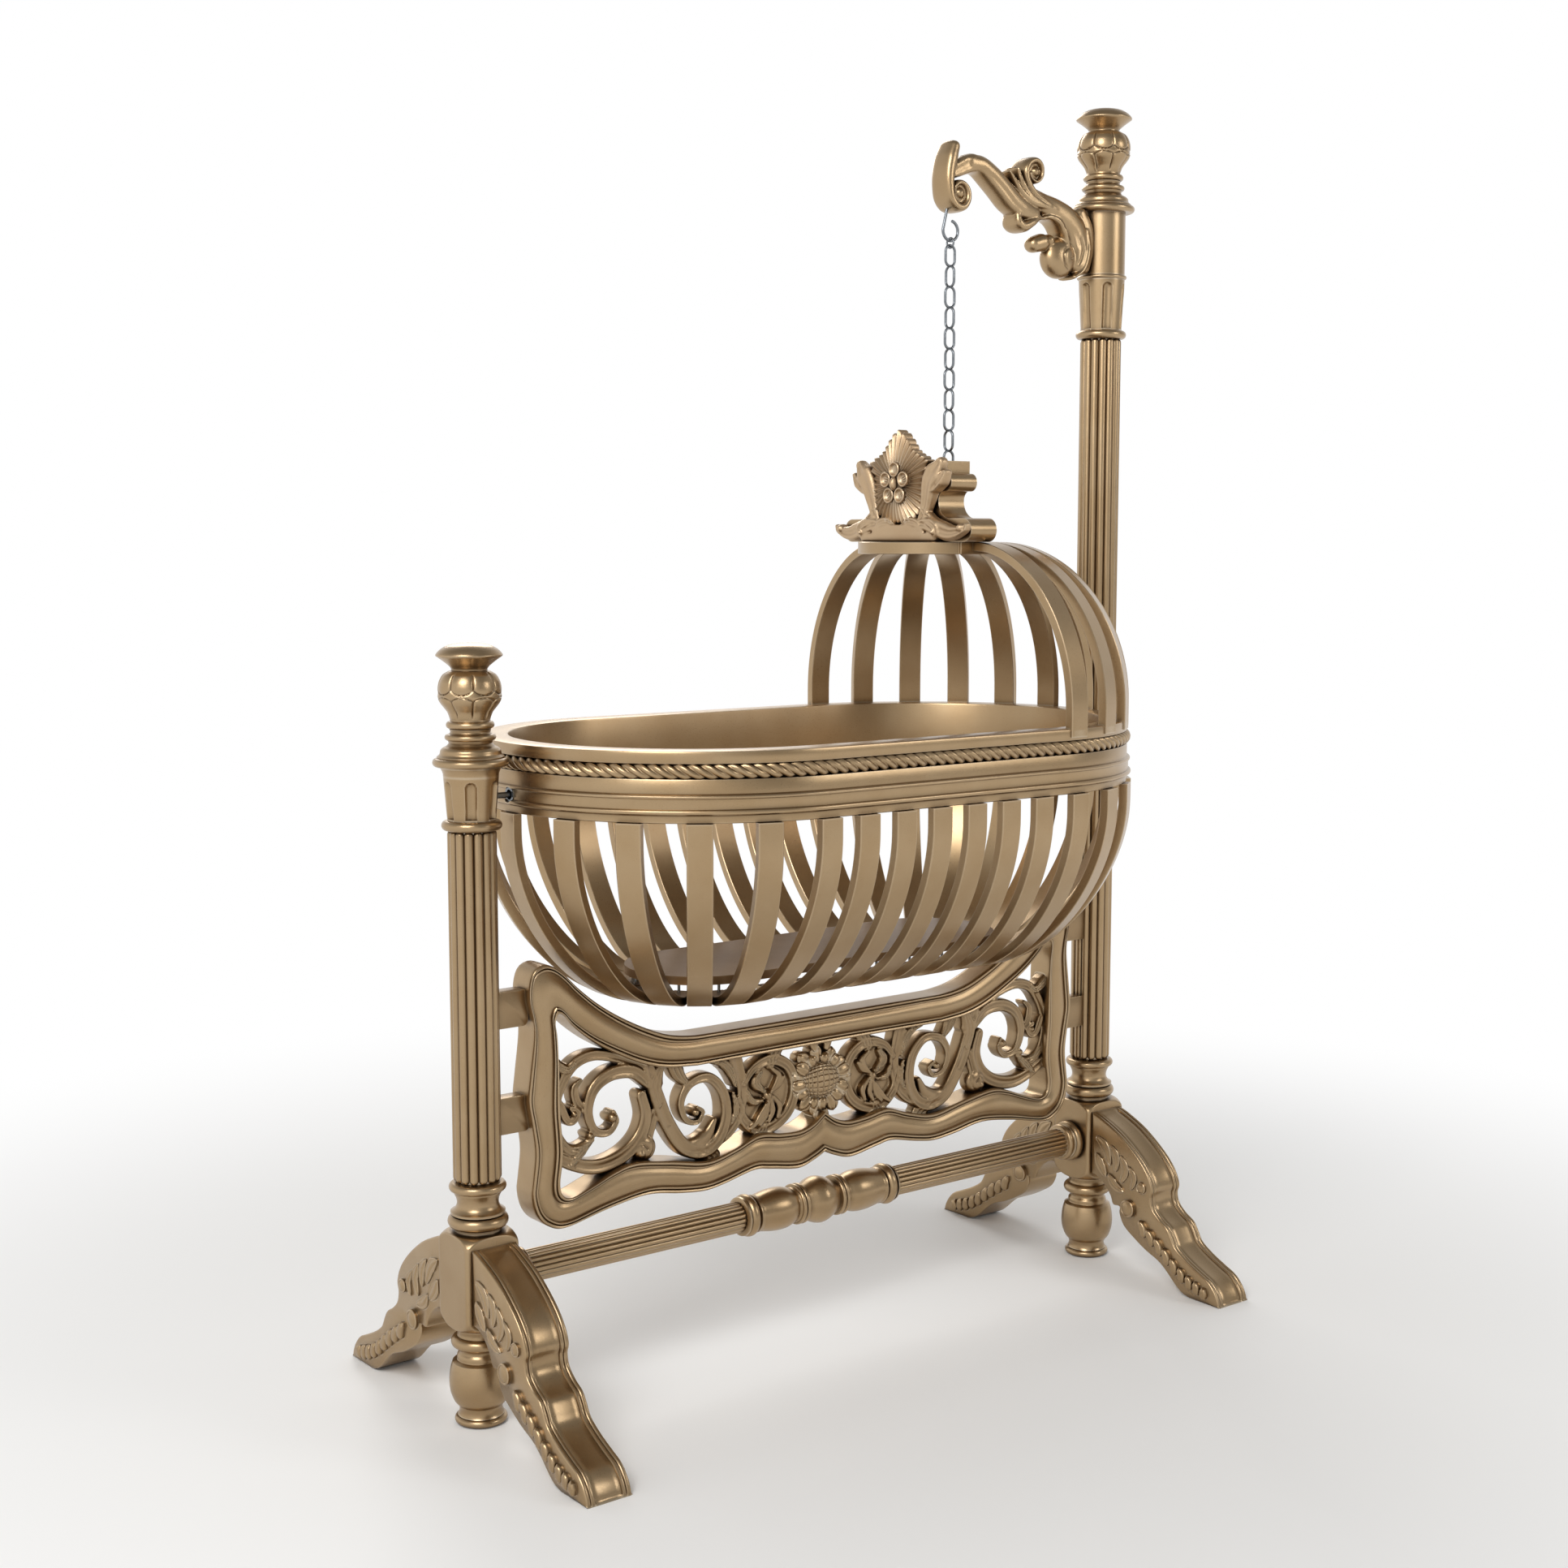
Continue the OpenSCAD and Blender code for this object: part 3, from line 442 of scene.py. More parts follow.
@dataclass
class Scroll:
    """A carved scroll, stem or leaf: a line with a moulded section, as deep on both sides.

    Attributes:
        points: Points of its line in the carving's plane.
        widths: Its widths, spread evenly along the line.
        depths: Half its thickness, spread evenly along the line.
        hollow: Depth of the hollow between its raised rims.
        ridge: Height of the ridges that run along it.
        ridges: Number of those ridges.
        square: How square its section is, 2 for round.
        level: Height above the middle plane from which its depth counts.
        blend: Reach of the soft joint with its neighbours.
    """

    points: Points
    widths: Sequence[float]
    depths: Sequence[float] = (9.0,)
    hollow: float = 0.0
    ridge: float = 0.0
    ridges: int = 2
    square: float = 3.2
    level: float = 0.0
    blend: float = 0.8

    def line(self) -> np.ndarray:
        """The scroll's line in short even steps.

        Returns:
            Its points.
        """
        if len(self.points) == 1:
            return np.array([self.points[0], np.add(self.points[0], 0.01)], float)
        rough = curve(self.points, 8)
        length = np.linalg.norm(np.diff(rough, axis=0), axis=1).sum()
        return even(rough, max(6, int(length / 3)))

    def field(self, x: np.ndarray, z: np.ndarray, y: np.ndarray) -> np.ndarray:
        """Measures how far points lie outside the scroll.

        Args:
            x: Places across.
            z: Places up.
            y: Places in depth.

        Returns:
            A grid of about millimetres, negative inside.
        """
        line = self.line()
        best = np.full((len(x), len(z)), 1e9)
        along, side = np.zeros_like(best), np.zeros_like(best)
        for k, (a, b) in enumerate(zip(line, line[1:])):
            d = b - a
            px, pz = x[:, None] - a[0], z[None, :] - a[1]
            t = np.clip((px * d[0] + pz * d[1]) / (d @ d), 0, 1)
            far = (px - t * d[0]) ** 2 + (pz - t * d[1]) ** 2
            near = far < best
            best[near], along[near] = far[near], (k + t)[near]
            side[near] = np.sign(d[0] * pz - d[1] * px)[near]
        t = along / (len(line) - 1)
        half = np.interp(t, np.linspace(0, 1, len(self.widths)), self.widths) / 2
        deep = np.interp(t, np.linspace(0, 1, len(self.depths)), self.depths)
        s = np.sqrt(best) / half
        inner = np.clip(s, 0, 1)
        turns = 2 * np.pi * self.ridges * inner * np.where(side < 0, -1, 1)
        waves = 0.5 - 0.5 * np.cos(turns + np.pi * self.ridges)
        height = deep - self.hollow * np.cos(np.pi / 2 * inner) ** 2
        height -= self.ridge * waves * (1 - inner ** 4)
        p = self.square
        tall = np.abs(np.abs(y) - self.level)[None, None, :] / np.maximum(height, 0.5)[..., None]
        return ((s[..., None] ** p + tall ** p) ** (1 / p) - 1) * np.minimum(half, deep)[..., None]


class Block:
    """A block of wood that scrolls are carved from, kept as a field that is negative inside."""

    def __init__(self, low: Sequence[float], high: Sequence[float], step: float) -> None:
        """Lays out the block.

        Args:
            low: Its lowest corner as across, up, depth.
            high: Its highest corner.
            step: Size of its cells in millimetres.
        """
        counts = np.ceil((np.asarray(high, float) - low) / step).astype(int) + 1
        self.low, self.step = np.asarray(low, float), step
        self.axes = [a + step * np.arange(n) for a, n in zip(low, counts)]
        self.field = np.full(counts, 9.0)

    def carve(self, scrolls: Sequence[Scroll], away: bool = False) -> None:
        """Adds scrolls to the shape, or cuts them away.

        Args:
            scrolls: The scrolls.
            away: Whether they are cut away.
        """
        for scroll in scrolls:
            line = scroll.line()
            reach = max(scroll.widths) / 2 + 5
            ends = np.stack([line.min(0) - reach, line.max(0) + reach], -1)
            span = [slice(*np.searchsorted(axis, pair)) for axis, pair in zip(self.axes, ends)]
            new = scroll.field(self.axes[0][span[0]], self.axes[1][span[1]], self.axes[2])
            sign, k = -1 if away else 1, scroll.blend
            old = sign * self.field[span[0], span[1]]
            h = np.clip(0.5 + (old - new) / (2 * k), 0, 1)
            self.field[span[0], span[1]] = sign * (old + (new - old) * h - k * h * (1 - h))

    def skin(self, place: Placing, passes: int = 2) -> Shell:
        """Wraps a skin of four-sided faces round the carved shape.

        Args:
            place: Puts the points in their place.
            passes: How often the skin is smoothed.

        Returns:
            The skin.
        """
        f = np.pad(self.field, 1, constant_values=9.0)
        room = tuple(n - 1 for n in f.shape)
        total, hits = np.zeros(room + (3,)), np.zeros(room)
        walls = []
        for axis in range(3):
            a, b = (np.moveaxis(f, axis, 0)[k] for k in (slice(None, -1), slice(1, None)))
            spots = np.argwhere((a < 0) != (b < 0))
            low = a[tuple(spots.T)]
            share = low / (low - b[tuple(spots.T)])
            order = [axis] + [k for k in range(3) if k != axis]
            cells = np.empty_like(spots)
            cells[:, order] = spots
            point = cells.astype(float)
            point[:, axis] += share
            one, two = np.eye(3, dtype=int)[(axis + 1) % 3], np.eye(3, dtype=int)[(axis + 2) % 3]
            quad = np.stack([cells - one - two, cells - two, cells, cells - one], 1)
            quad[low > 0] = quad[low > 0][:, ::-1]
            walls.append(quad)
            for corner in range(4):
                np.add.at(total, tuple(quad[:, corner].T), point)
                np.add.at(hits, tuple(quad[:, corner].T), 1)
        number = np.cumsum(hits.ravel() > 0).reshape(hits.shape) - 1
        points = total[hits > 0] / hits[hits > 0][:, None]
        faces = number[tuple(np.moveaxis(np.concatenate(walls), -1, 0))]
        for _ in range(passes):
            sums, edges = np.zeros_like(points), np.zeros(len(points))
            for k in range(4):
                np.add.at(sums, faces[:, k], points[faces[:, (k + 1) % 4]] + points[faces[:, k - 1]])
                np.add.at(edges, faces[:, k], 2)
            points += 0.5 * (sums / edges[:, None] - points)
        return Shell().add((points - 1) * self.step + self.low, faces.tolist(), place)


def ribbon(shell: Shell, scroll: Scroll, place: Placing) -> None:
    """Adds a scroll to a shell as a ribbon with ridges, in fewer faces than a carved block's.

    Args:
        shell: The shell.
        scroll: The scroll.
        place: Puts the points in their place.
    """
    line = scroll.line()
    length = np.linalg.norm(np.diff(line, axis=0), axis=1).sum()
    t = np.linspace(0, 1, len(line))
    width = np.interp(t, np.linspace(0, 1, len(scroll.widths)), scroll.widths)
    end = 1.0
    for near in (t, 1 - t):
        end = end * np.sqrt(np.clip(1 - (1 - np.clip(near * length / (0.5 * width), 0, 1)) ** 2, 0.02, 1))
    across = left_of(headings(line))
    s = np.sin(np.linspace(-np.pi / 2, np.pi / 2, 6 * scroll.ridges + 5))
    dome = scroll.depths[0] * np.sqrt(1 - np.abs(s) ** 5 * 0.9) + scroll.ridge * (
        np.abs(np.cos(np.pi * scroll.ridges * s / 2)) - 0.6)
    ring_s, ring_h = np.concatenate([s, s[::-1]]), np.concatenate([-dome, dome[::-1]])
    flat = line[:, None, :] + across[:, None, :] * (ring_s[None, :, None] * (width * end / 2)[:, None, None])
    depth = ring_h[None, :] * (0.45 + 0.55 * end)[:, None]
    shell.loft(np.concatenate([flat, depth[..., None]], -1), place=place)


# Geometry Nodes


def new_tree(name: str, inputs: dict[str, str]) -> tuple[NodeTree, Node]:
    """Starts a Geometry Nodes tree with named inputs.

    Args:
        name: The tree's name.
        inputs: Each input's socket type by its name.

    Returns:
        The tree and its input node.
    """
    tree = bpy.data.node_groups.new(name, "GeometryNodeTree")
    tree.interface.new_socket("Geometry", in_out="INPUT", socket_type="NodeSocketGeometry")
    for label, kind in inputs.items():
        tree.interface.new_socket(label, in_out="INPUT", socket_type=kind)
    tree.interface.new_socket("Geometry", in_out="OUTPUT", socket_type="NodeSocketGeometry")
    return tree, add_node(tree, "NodeGroupInput")


def end_tree(tree: NodeTree, source: Node, shape: NodeSocket) -> None:
    """Ends a tree in Realize Instances and Set Material.

    Args:
        tree: The tree.
        source: Its input node.
        shape: The socket that gives the shape.
    """
    real = add_node(tree, "GeometryNodeRealizeInstances", links={0: shape})
    painted = add_node(tree, "GeometryNodeSetMaterial",
                       links={"Geometry": real.outputs[0], "Material": source.outputs["Material"]})
    add_node(tree, "NodeGroupOutput", links={0: painted.outputs[0]})


def run_tree(tree: NodeTree, mesh: Mesh, values: dict) -> Mesh:
    """Runs a tree on a mesh and returns what it makes as a plain mesh.

    Args:
        tree: The Geometry Nodes tree.
        mesh: What goes into the tree.
        values: The tree's inputs by name.

    Returns:
        The finished mesh.
    """
    holder = in_scene("holder", mesh)
    modifier = holder.modifiers.new("tree", "NODES")
    modifier.node_group = tree
    for item in tree.interface.items_tree:
        if item.in_out == "INPUT" and item.name in values:
            modifier[item.identifier] = values[item.name]
    return evaluated(holder)


def calculated(tree: NodeTree, operation: str, *sides: Side) -> NodeSocket:
    """Adds a Math node.

    Args:
        tree: The tree.
        operation: What it calculates.
        sides: The number or the socket for each of its inputs.

    Returns:
        Its result.
    """
    node = add_node(tree, "ShaderNodeMath", {"operation": operation})
    for side, socket in zip(sides, node.inputs):
        if isinstance(side, NodeSocket):
            tree.links.new(side, socket)
        else:
            socket.default_value = side
    return node.outputs[0]


class RepeatTree:
    """Repeats a piece along a line while it turns it, as for reeds, slats, ribs and links."""

    def __init__(self) -> None:
        """Builds the tree."""
        self.tree, source = new_tree("repeat_piece", {
            "Count": "NodeSocketInt", "Offset": "NodeSocketVector", "First turn": "NodeSocketVector",
            "Turn": "NodeSocketVector", "Material": "NodeSocketMaterial"})
        given = source.outputs
        line = add_node(self.tree, "GeometryNodeMeshLine",
                        links={"Count": given["Count"], "Offset": given["Offset"]})
        index = add_node(self.tree, "GeometryNodeInputIndex")
        turned = add_node(self.tree, "ShaderNodeVectorMath", {"operation": "MULTIPLY_ADD"},
                          {0: index.outputs[0], 1: given["Turn"], 2: given["First turn"]})
        placed = add_node(self.tree, "GeometryNodeInstanceOnPoints", links={
            "Points": line.outputs[0], "Instance": given["Geometry"], "Rotation": turned.outputs[0]})
        end_tree(self.tree, source, placed.outputs[0])

    def run(self, mesh: Mesh, count: int, offset: Sequence[float] = (0, 0, 0),
            first: Sequence[float] = (0, 0, 0), turn: Sequence[float] = (0, 0, 0)) -> Mesh:
        """Repeats a mesh.

        Args:
            mesh: The piece to repeat.
            count: How many there are.
            offset: Millimetres from one to the next.
            first: Turn of the first one, in degrees about X, Y and Z.
            turn: Further turn of each next one, in degrees.

        Returns:
            All of them in one mesh.
        """
        return run_tree(self.tree, mesh, {
            "Count": count, "Offset": [v * MM for v in offset],
            "First turn": [math.radians(v) for v in first], "Turn": [math.radians(v) for v in turn],
            "Material": None})


class RopeTree:
    """Sweeps a twisted rope of several strands along a closed line."""

    def __init__(self) -> None:
        """Builds the tree."""
        self.tree, source = new_tree("twisted_rope", {
            "Radius": "NodeSocketFloat", "Strands": "NodeSocketFloat", "Groove": "NodeSocketFloat",
            "Turns": "NodeSocketFloat", "Material": "NodeSocketMaterial"})
        tree, given = self.tree, source.outputs
        line = add_node(tree, "GeometryNodeMeshToCurve", links={"Mesh": given["Geometry"]})
        upright = add_node(tree, "GeometryNodeSetCurveNormal", {"mode": "Z_UP"}, {"Curve": line.outputs[0]})
        along = add_node(tree, "GeometryNodeSplineParameter").outputs["Factor"]
        whole = calculated(tree, "MULTIPLY", given["Turns"], 2 * math.pi)
        twisted = add_node(tree, "GeometryNodeSetCurveTilt", links={
            "Curve": upright.outputs[0], "Tilt": calculated(tree, "MULTIPLY", along, whole)})
        ring = add_node(tree, "GeometryNodeCurvePrimitiveCircle", {"Resolution": 56},
                        {"Radius": given["Radius"]})
        phase = calculated(tree, "MULTIPLY", along, calculated(tree, "MULTIPLY", given["Strands"], math.pi))
        lobe = calculated(tree, "ABSOLUTE", calculated(tree, "SINE", phase))
        depth = calculated(tree, "MULTIPLY", calculated(tree, "SUBTRACT", lobe, 1.0), given["Groove"])
        place = add_node(tree, "GeometryNodeInputPosition")
        inward = add_node(tree, "ShaderNodeVectorMath", {"operation": "SCALE"},
                          {0: place.outputs[0], "Scale": depth})
        strand = add_node(tree, "GeometryNodeSetPosition",
                          links={"Geometry": ring.outputs[0], "Offset": inward.outputs[0]})
        swept = add_node(tree, "GeometryNodeCurveToMesh",
                         links={"Curve": twisted.outputs[0], "Profile Curve": strand.outputs[0]})
        end_tree(tree, source, swept.outputs[0])

    def run(self, line: np.ndarray, radius: float, strands: int, groove: float, turns: int) -> Mesh:
        """Makes a closed rope.

        Args:
            line: Its line, evenly spread, in millimetres.
            radius: The rope's radius in millimetres.
            strands: Number of strands.
            groove: Depth of the grooves between strands, as a share of the radius.
            turns: Whole turns of the twist.

        Returns:
            The rope's mesh.
        """
        guide = bpy.data.meshes.new("rope_line")
        guide.from_pydata((line * MM).tolist(), [(i, (i + 1) % len(line)) for i in range(len(line))], [])
        made = run_tree(self.tree, guide, {
            "Radius": radius * MM, "Strands": float(strands), "Groove": groove, "Turns": float(turns),
            "Material": None})
        with editing(made) as work:
            bmesh.ops.recalc_face_normals(work, faces=work.faces)
        made.shade_smooth()
        return made


# Finishes


def new_material(name: str) -> tuple[Material, NodeTree, NodeSocket]:
    """Starts a material.

    Args:
        name: Its name.

    Returns:
        The material, its empty tree and the socket of the point's place on the piece.
    """
    material = bpy.data.materials.new(name)
    material.use_nodes = True
    tree = material.node_tree
    tree.nodes.clear()
    return material, tree, add_node(tree, "ShaderNodeTexCoord").outputs["Object"]


def noise(tree: NodeTree, place: NodeSocket, size: float, detail: float) -> NodeSocket:
    """Adds a noise with patches of a size in millimetres and gives its value."""
    return add_node(tree, "ShaderNodeTexNoise", {"Scale": 1000 / size, "Detail": detail},
                    {"Vector": place}).outputs["Fac"]


def ranged(tree: NodeTree, value: NodeSocket, given: tuple[float, float],
           wanted: tuple[float, float] = (0.0, 1.0), **settings: str) -> NodeSocket:
    """Takes a value from the range that it is given in to the wanted one."""
    ends = dict(zip(("From Min", "From Max", "To Min", "To Max"), (*given, *wanted)))
    return add_node(tree, "ShaderNodeMapRange", {**settings, **ends}, {"Value": value}).outputs[0]


def mixed(tree: NodeTree, share: NodeSocket, one: Colour, other: Colour) -> NodeSocket:
    """Mixes two colours.

    Args:
        tree: The tree.
        share: How much of the second colour shows.
        one: The first colour, as a hex colour or a socket.
        other: The second colour, as either.

    Returns:
        The mixed colour.
    """
    sides = {6: one, 7: other}
    written = {k: linear(side) for k, side in sides.items() if isinstance(side, str)}
    linked = {k: side for k, side in sides.items() if not isinstance(side, str)}
    return add_node(tree, "ShaderNodeMix", {"data_type": "RGBA", **written}, {0: share, **linked}).outputs[2]


def end_material(tree: NodeTree, settings: dict, links: dict) -> None:
    """Ends a material in a surface with plain values and linked ones."""
    shader = add_node(tree, "ShaderNodeBsdfPrincipled", settings, links)
    add_node(tree, "ShaderNodeOutputMaterial", links={"Surface": shader.outputs[0]})


@dataclass(frozen=True)
class GoldPaint:
    """Metallic champagne paint sprayed on carved hardwood, with painted shade in its recesses and painted highlights on
    its sharp edges.

    The eye sees soft, warm reflections and a fine metal flake; dark brown painted shade is mixed into the colour in
    recesses and a pale painted highlight along sharp edges.

    Attributes:
        name: The material's name.
        base: The paint's colour.
        warm: Colour of the slightly warmer patches in it.
        recess_shade: Dark brown colour of the painted shade in the recesses.
        edge_highlight: Pale colour of the painted highlight along sharp edges.
        roughness: Lowest and highest roughness over the flake.
        patch_mm: Size of the warmer patches.
        flake_mm: Size of the flake, drawn coarser than the real 0.1 mm so that it shows.
        recess_mm: How far round a point the painted recess shade looks for walls.
        edge_mm: How far under the surface the painted edge highlight looks for the other side of an edge.
        recess_shade_strength: How much of the painted shade a recess shows at most.
        edge_highlight_strength: How much of the painted highlight an edge shows at most.
        lacquer: Weight and roughness of the clear coat.
        ripple: Strength of the flake's relief.
        ripple_mm: Height of that relief.
    """

    name: str
    base: str
    warm: str
    recess_shade: str
    edge_highlight: str
    roughness: tuple[float, float] = (0.27, 0.37)
    patch_mm: float = 60.0
    flake_mm: float = 1.1
    recess_mm: float = 9.0
    edge_mm: float = 2.4
    recess_shade_strength: float = 0.8
    edge_highlight_strength: float = 0.38
    lacquer: tuple[float, float] = (0.2, 0.22)
    ripple: float = 0.12
    ripple_mm: float = 0.12

    def make(self) -> Material:
        """Builds the material.

        Returns:
            The material.
        """
        material, tree, place = new_material(self.name)
        colour = mixed(tree, noise(tree, place, self.patch_mm, 3.0), self.base, self.warm)
        # Painted shade: occlusion darkens the colour towards a dark brown in recesses, where shade falls.
        hollow = add_node(tree, "ShaderNodeAmbientOcclusion", {"samples": 6, "Distance": self.recess_mm * MM})
        recess_shade_share = ranged(tree, hollow.outputs["AO"], (0.35, 0.9), (self.recess_shade_strength, 0.0))
        shade_painted = mixed(tree, recess_shade_share, colour, self.recess_shade)
        # Painted highlight: occlusion from inside lightens the colour along sharp edges and thin ridges.
        crest = add_node(tree, "ShaderNodeAmbientOcclusion",
                         {"samples": 4, "inside": True, "Distance": self.edge_mm * MM})
        edges = ranged(tree, crest.outputs["AO"], (0.55, 0.92), (self.edge_highlight_strength, 0.0))
        highlighted = mixed(tree, edges, shade_painted, self.edge_highlight)
        flake = noise(tree, place, self.flake_mm, 2.0)
        relief = add_node(tree, "ShaderNodeBump", {"Strength": self.ripple, "Distance": self.ripple_mm * MM},
                          {"Height": flake})
        end_material(tree, {"Metallic": 1.0, "Coat Weight": self.lacquer[0], "Coat Roughness": self.lacquer[1]}, {
            "Base Color": highlighted, "Roughness": ranged(tree, flake, (0.3, 0.7), self.roughness),
            "Normal": relief.outputs[0]})
        return material


@dataclass(frozen=True)
class PlatedSteel:
    """Zinc-plated steel wire and bolts: a cool grey metal with a faint cloudy sheen.

    Attributes:
        name: The material's name.
        light: Colour of the bright parts.
        dark: Colour of the dull parts.
        roughness: Lowest and highest roughness over the clouds.
        cloud_mm: Size of the clouds in the plating.
    """

    name: str
    light: str
    dark: str
    roughness: tuple[float, float] = (0.22, 0.42)
    cloud_mm: float = 6.0

    def make(self) -> Material:
        """Builds the material.

        Returns:
            The material.
        """
        material, tree, place = new_material(self.name)
        cloud = noise(tree, place, self.cloud_mm, 4.0)
        end_material(tree, {"Metallic": 1.0}, {
            "Base Color": mixed(tree, cloud, self.dark, self.light),
            "Roughness": ranged(tree, cloud, (0.0, 1.0), self.roughness)})
        return material


@dataclass(frozen=True)
class BareBeech:
    """Bare beech dowel: pale brown with fine straight grain along its length.

    Attributes:
        name: The material's name.
        light: Colour between the grain lines.
        dark: Colour of the grain lines.
        roughness: Its roughness.
        grain_mm: Spacing of the grain lines.
    """

    name: str
    light: str
    dark: str
    roughness: float = 0.6
    grain_mm: float = 1.5

    def make(self) -> Material:
        """Builds the material.

        Returns:
            The material.
        """
        material, tree, place = new_material(self.name)
        stretched = add_node(tree, "ShaderNodeMapping", {"Scale": (1.0, 1.0, 0.08)}, {"Vector": place})
        grain = noise(tree, stretched.outputs[0], self.grain_mm, 5.0)
        end_material(tree, {"Roughness": self.roughness}, {"Base Color": mixed(tree, grain, self.dark, self.light)})
        return material


@dataclass
class Workshop:
    """What every sub-assembly shares: the finishes and the trees.

    Attributes:
        finishes: The material of each slot.
        board_shade: A darker copy of the gold paint for the board inside the basket, painted shade where the rim and
            slats shadow it.
        pale: The paler, more matt paint of the crown's carving.
        repeat: Tree that repeats a piece.
        rope: Tree that twists a rope.
    """

    finishes: dict[Slot, Material]
    board_shade: Material
    pale: Material
    repeat: RepeatTree
    rope: RopeTree

    def piece(self, name: str, mesh: Mesh, stands_for: Sequence[str], body: Body = Body.STAND,
              slot: Slot = Slot.GOLD, finish: Optional[Material] = None) -> None:
        """Shows a finished mesh in place of CAD nodes.

        Args:
            name: The piece's name.
            mesh: Its mesh, in metres.
            stands_for: The CAD nodes that it replaces.
            body: The body that it rides on.
            slot: Its material slot.
            finish: Its material, where it isn't the slot's own.
        """
        mesh.materials.clear()
        mesh.materials.append(finish or self.finishes[slot])
        obj = in_scene(name, mesh)
        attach(obj, body.value)
        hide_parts(*stands_for)
        LOG.info("%s: %d faces on %s", name, len(mesh.polygons), body.value)

    def dressed(self, node: str, slot: Slot) -> None:
        """Keeps a CAD node and gives it its finish.

        Args:
            node: The node.
            slot: The finish.
        """
        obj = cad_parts[node]
        obj.data.materials.clear()
        obj.data.materials.append(self.finishes[slot])
        LOG.info("%s: kept", node)

    def modified(self, mesh: Mesh, kind: str, settings: dict) -> Mesh:
        """Applies one modifier to a mesh.

        Args:
            mesh: The mesh.
            kind: The modifier's type.
            settings: Its settings by name.

        Returns:
            The new mesh.
        """
        holder = in_scene("holder", mesh)
        modifier = holder.modifiers.new("work", kind)
        for key, value in settings.items():
            setattr(modifier, key, value)
        return evaluated(holder)

    def copied(self, node: str) -> Mesh:
        """Copies a CAD node's mesh, merges its loose triangles and joins its flat faces.

        Args:
            node: The node.

        Returns:
            The copy.
        """
        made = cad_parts[node].data.copy()
        for attribute in [a.name for a in made.attributes if a.name == "custom_normal"]:
            made.attributes.remove(made.attributes[attribute])
        with editing(made) as work:
            bmesh.ops.remove_doubles(work, verts=work.verts, dist=5e-6)
            bmesh.ops.dissolve_limit(work, angle_limit=math.radians(0.5), verts=work.verts, edges=work.edges)
        return made

    def softened(self, node: str, width: float) -> Mesh:
        """Copies a CAD node with its sharp edges eased by a width in millimetres."""
        return smoothed(self.modified(self.copied(node), "BEVEL", {
            "width": width * MM, "segments": 1, "limit_method": "ANGLE", "angle_limit": math.radians(35)}), 28)


# Sub-assemblies


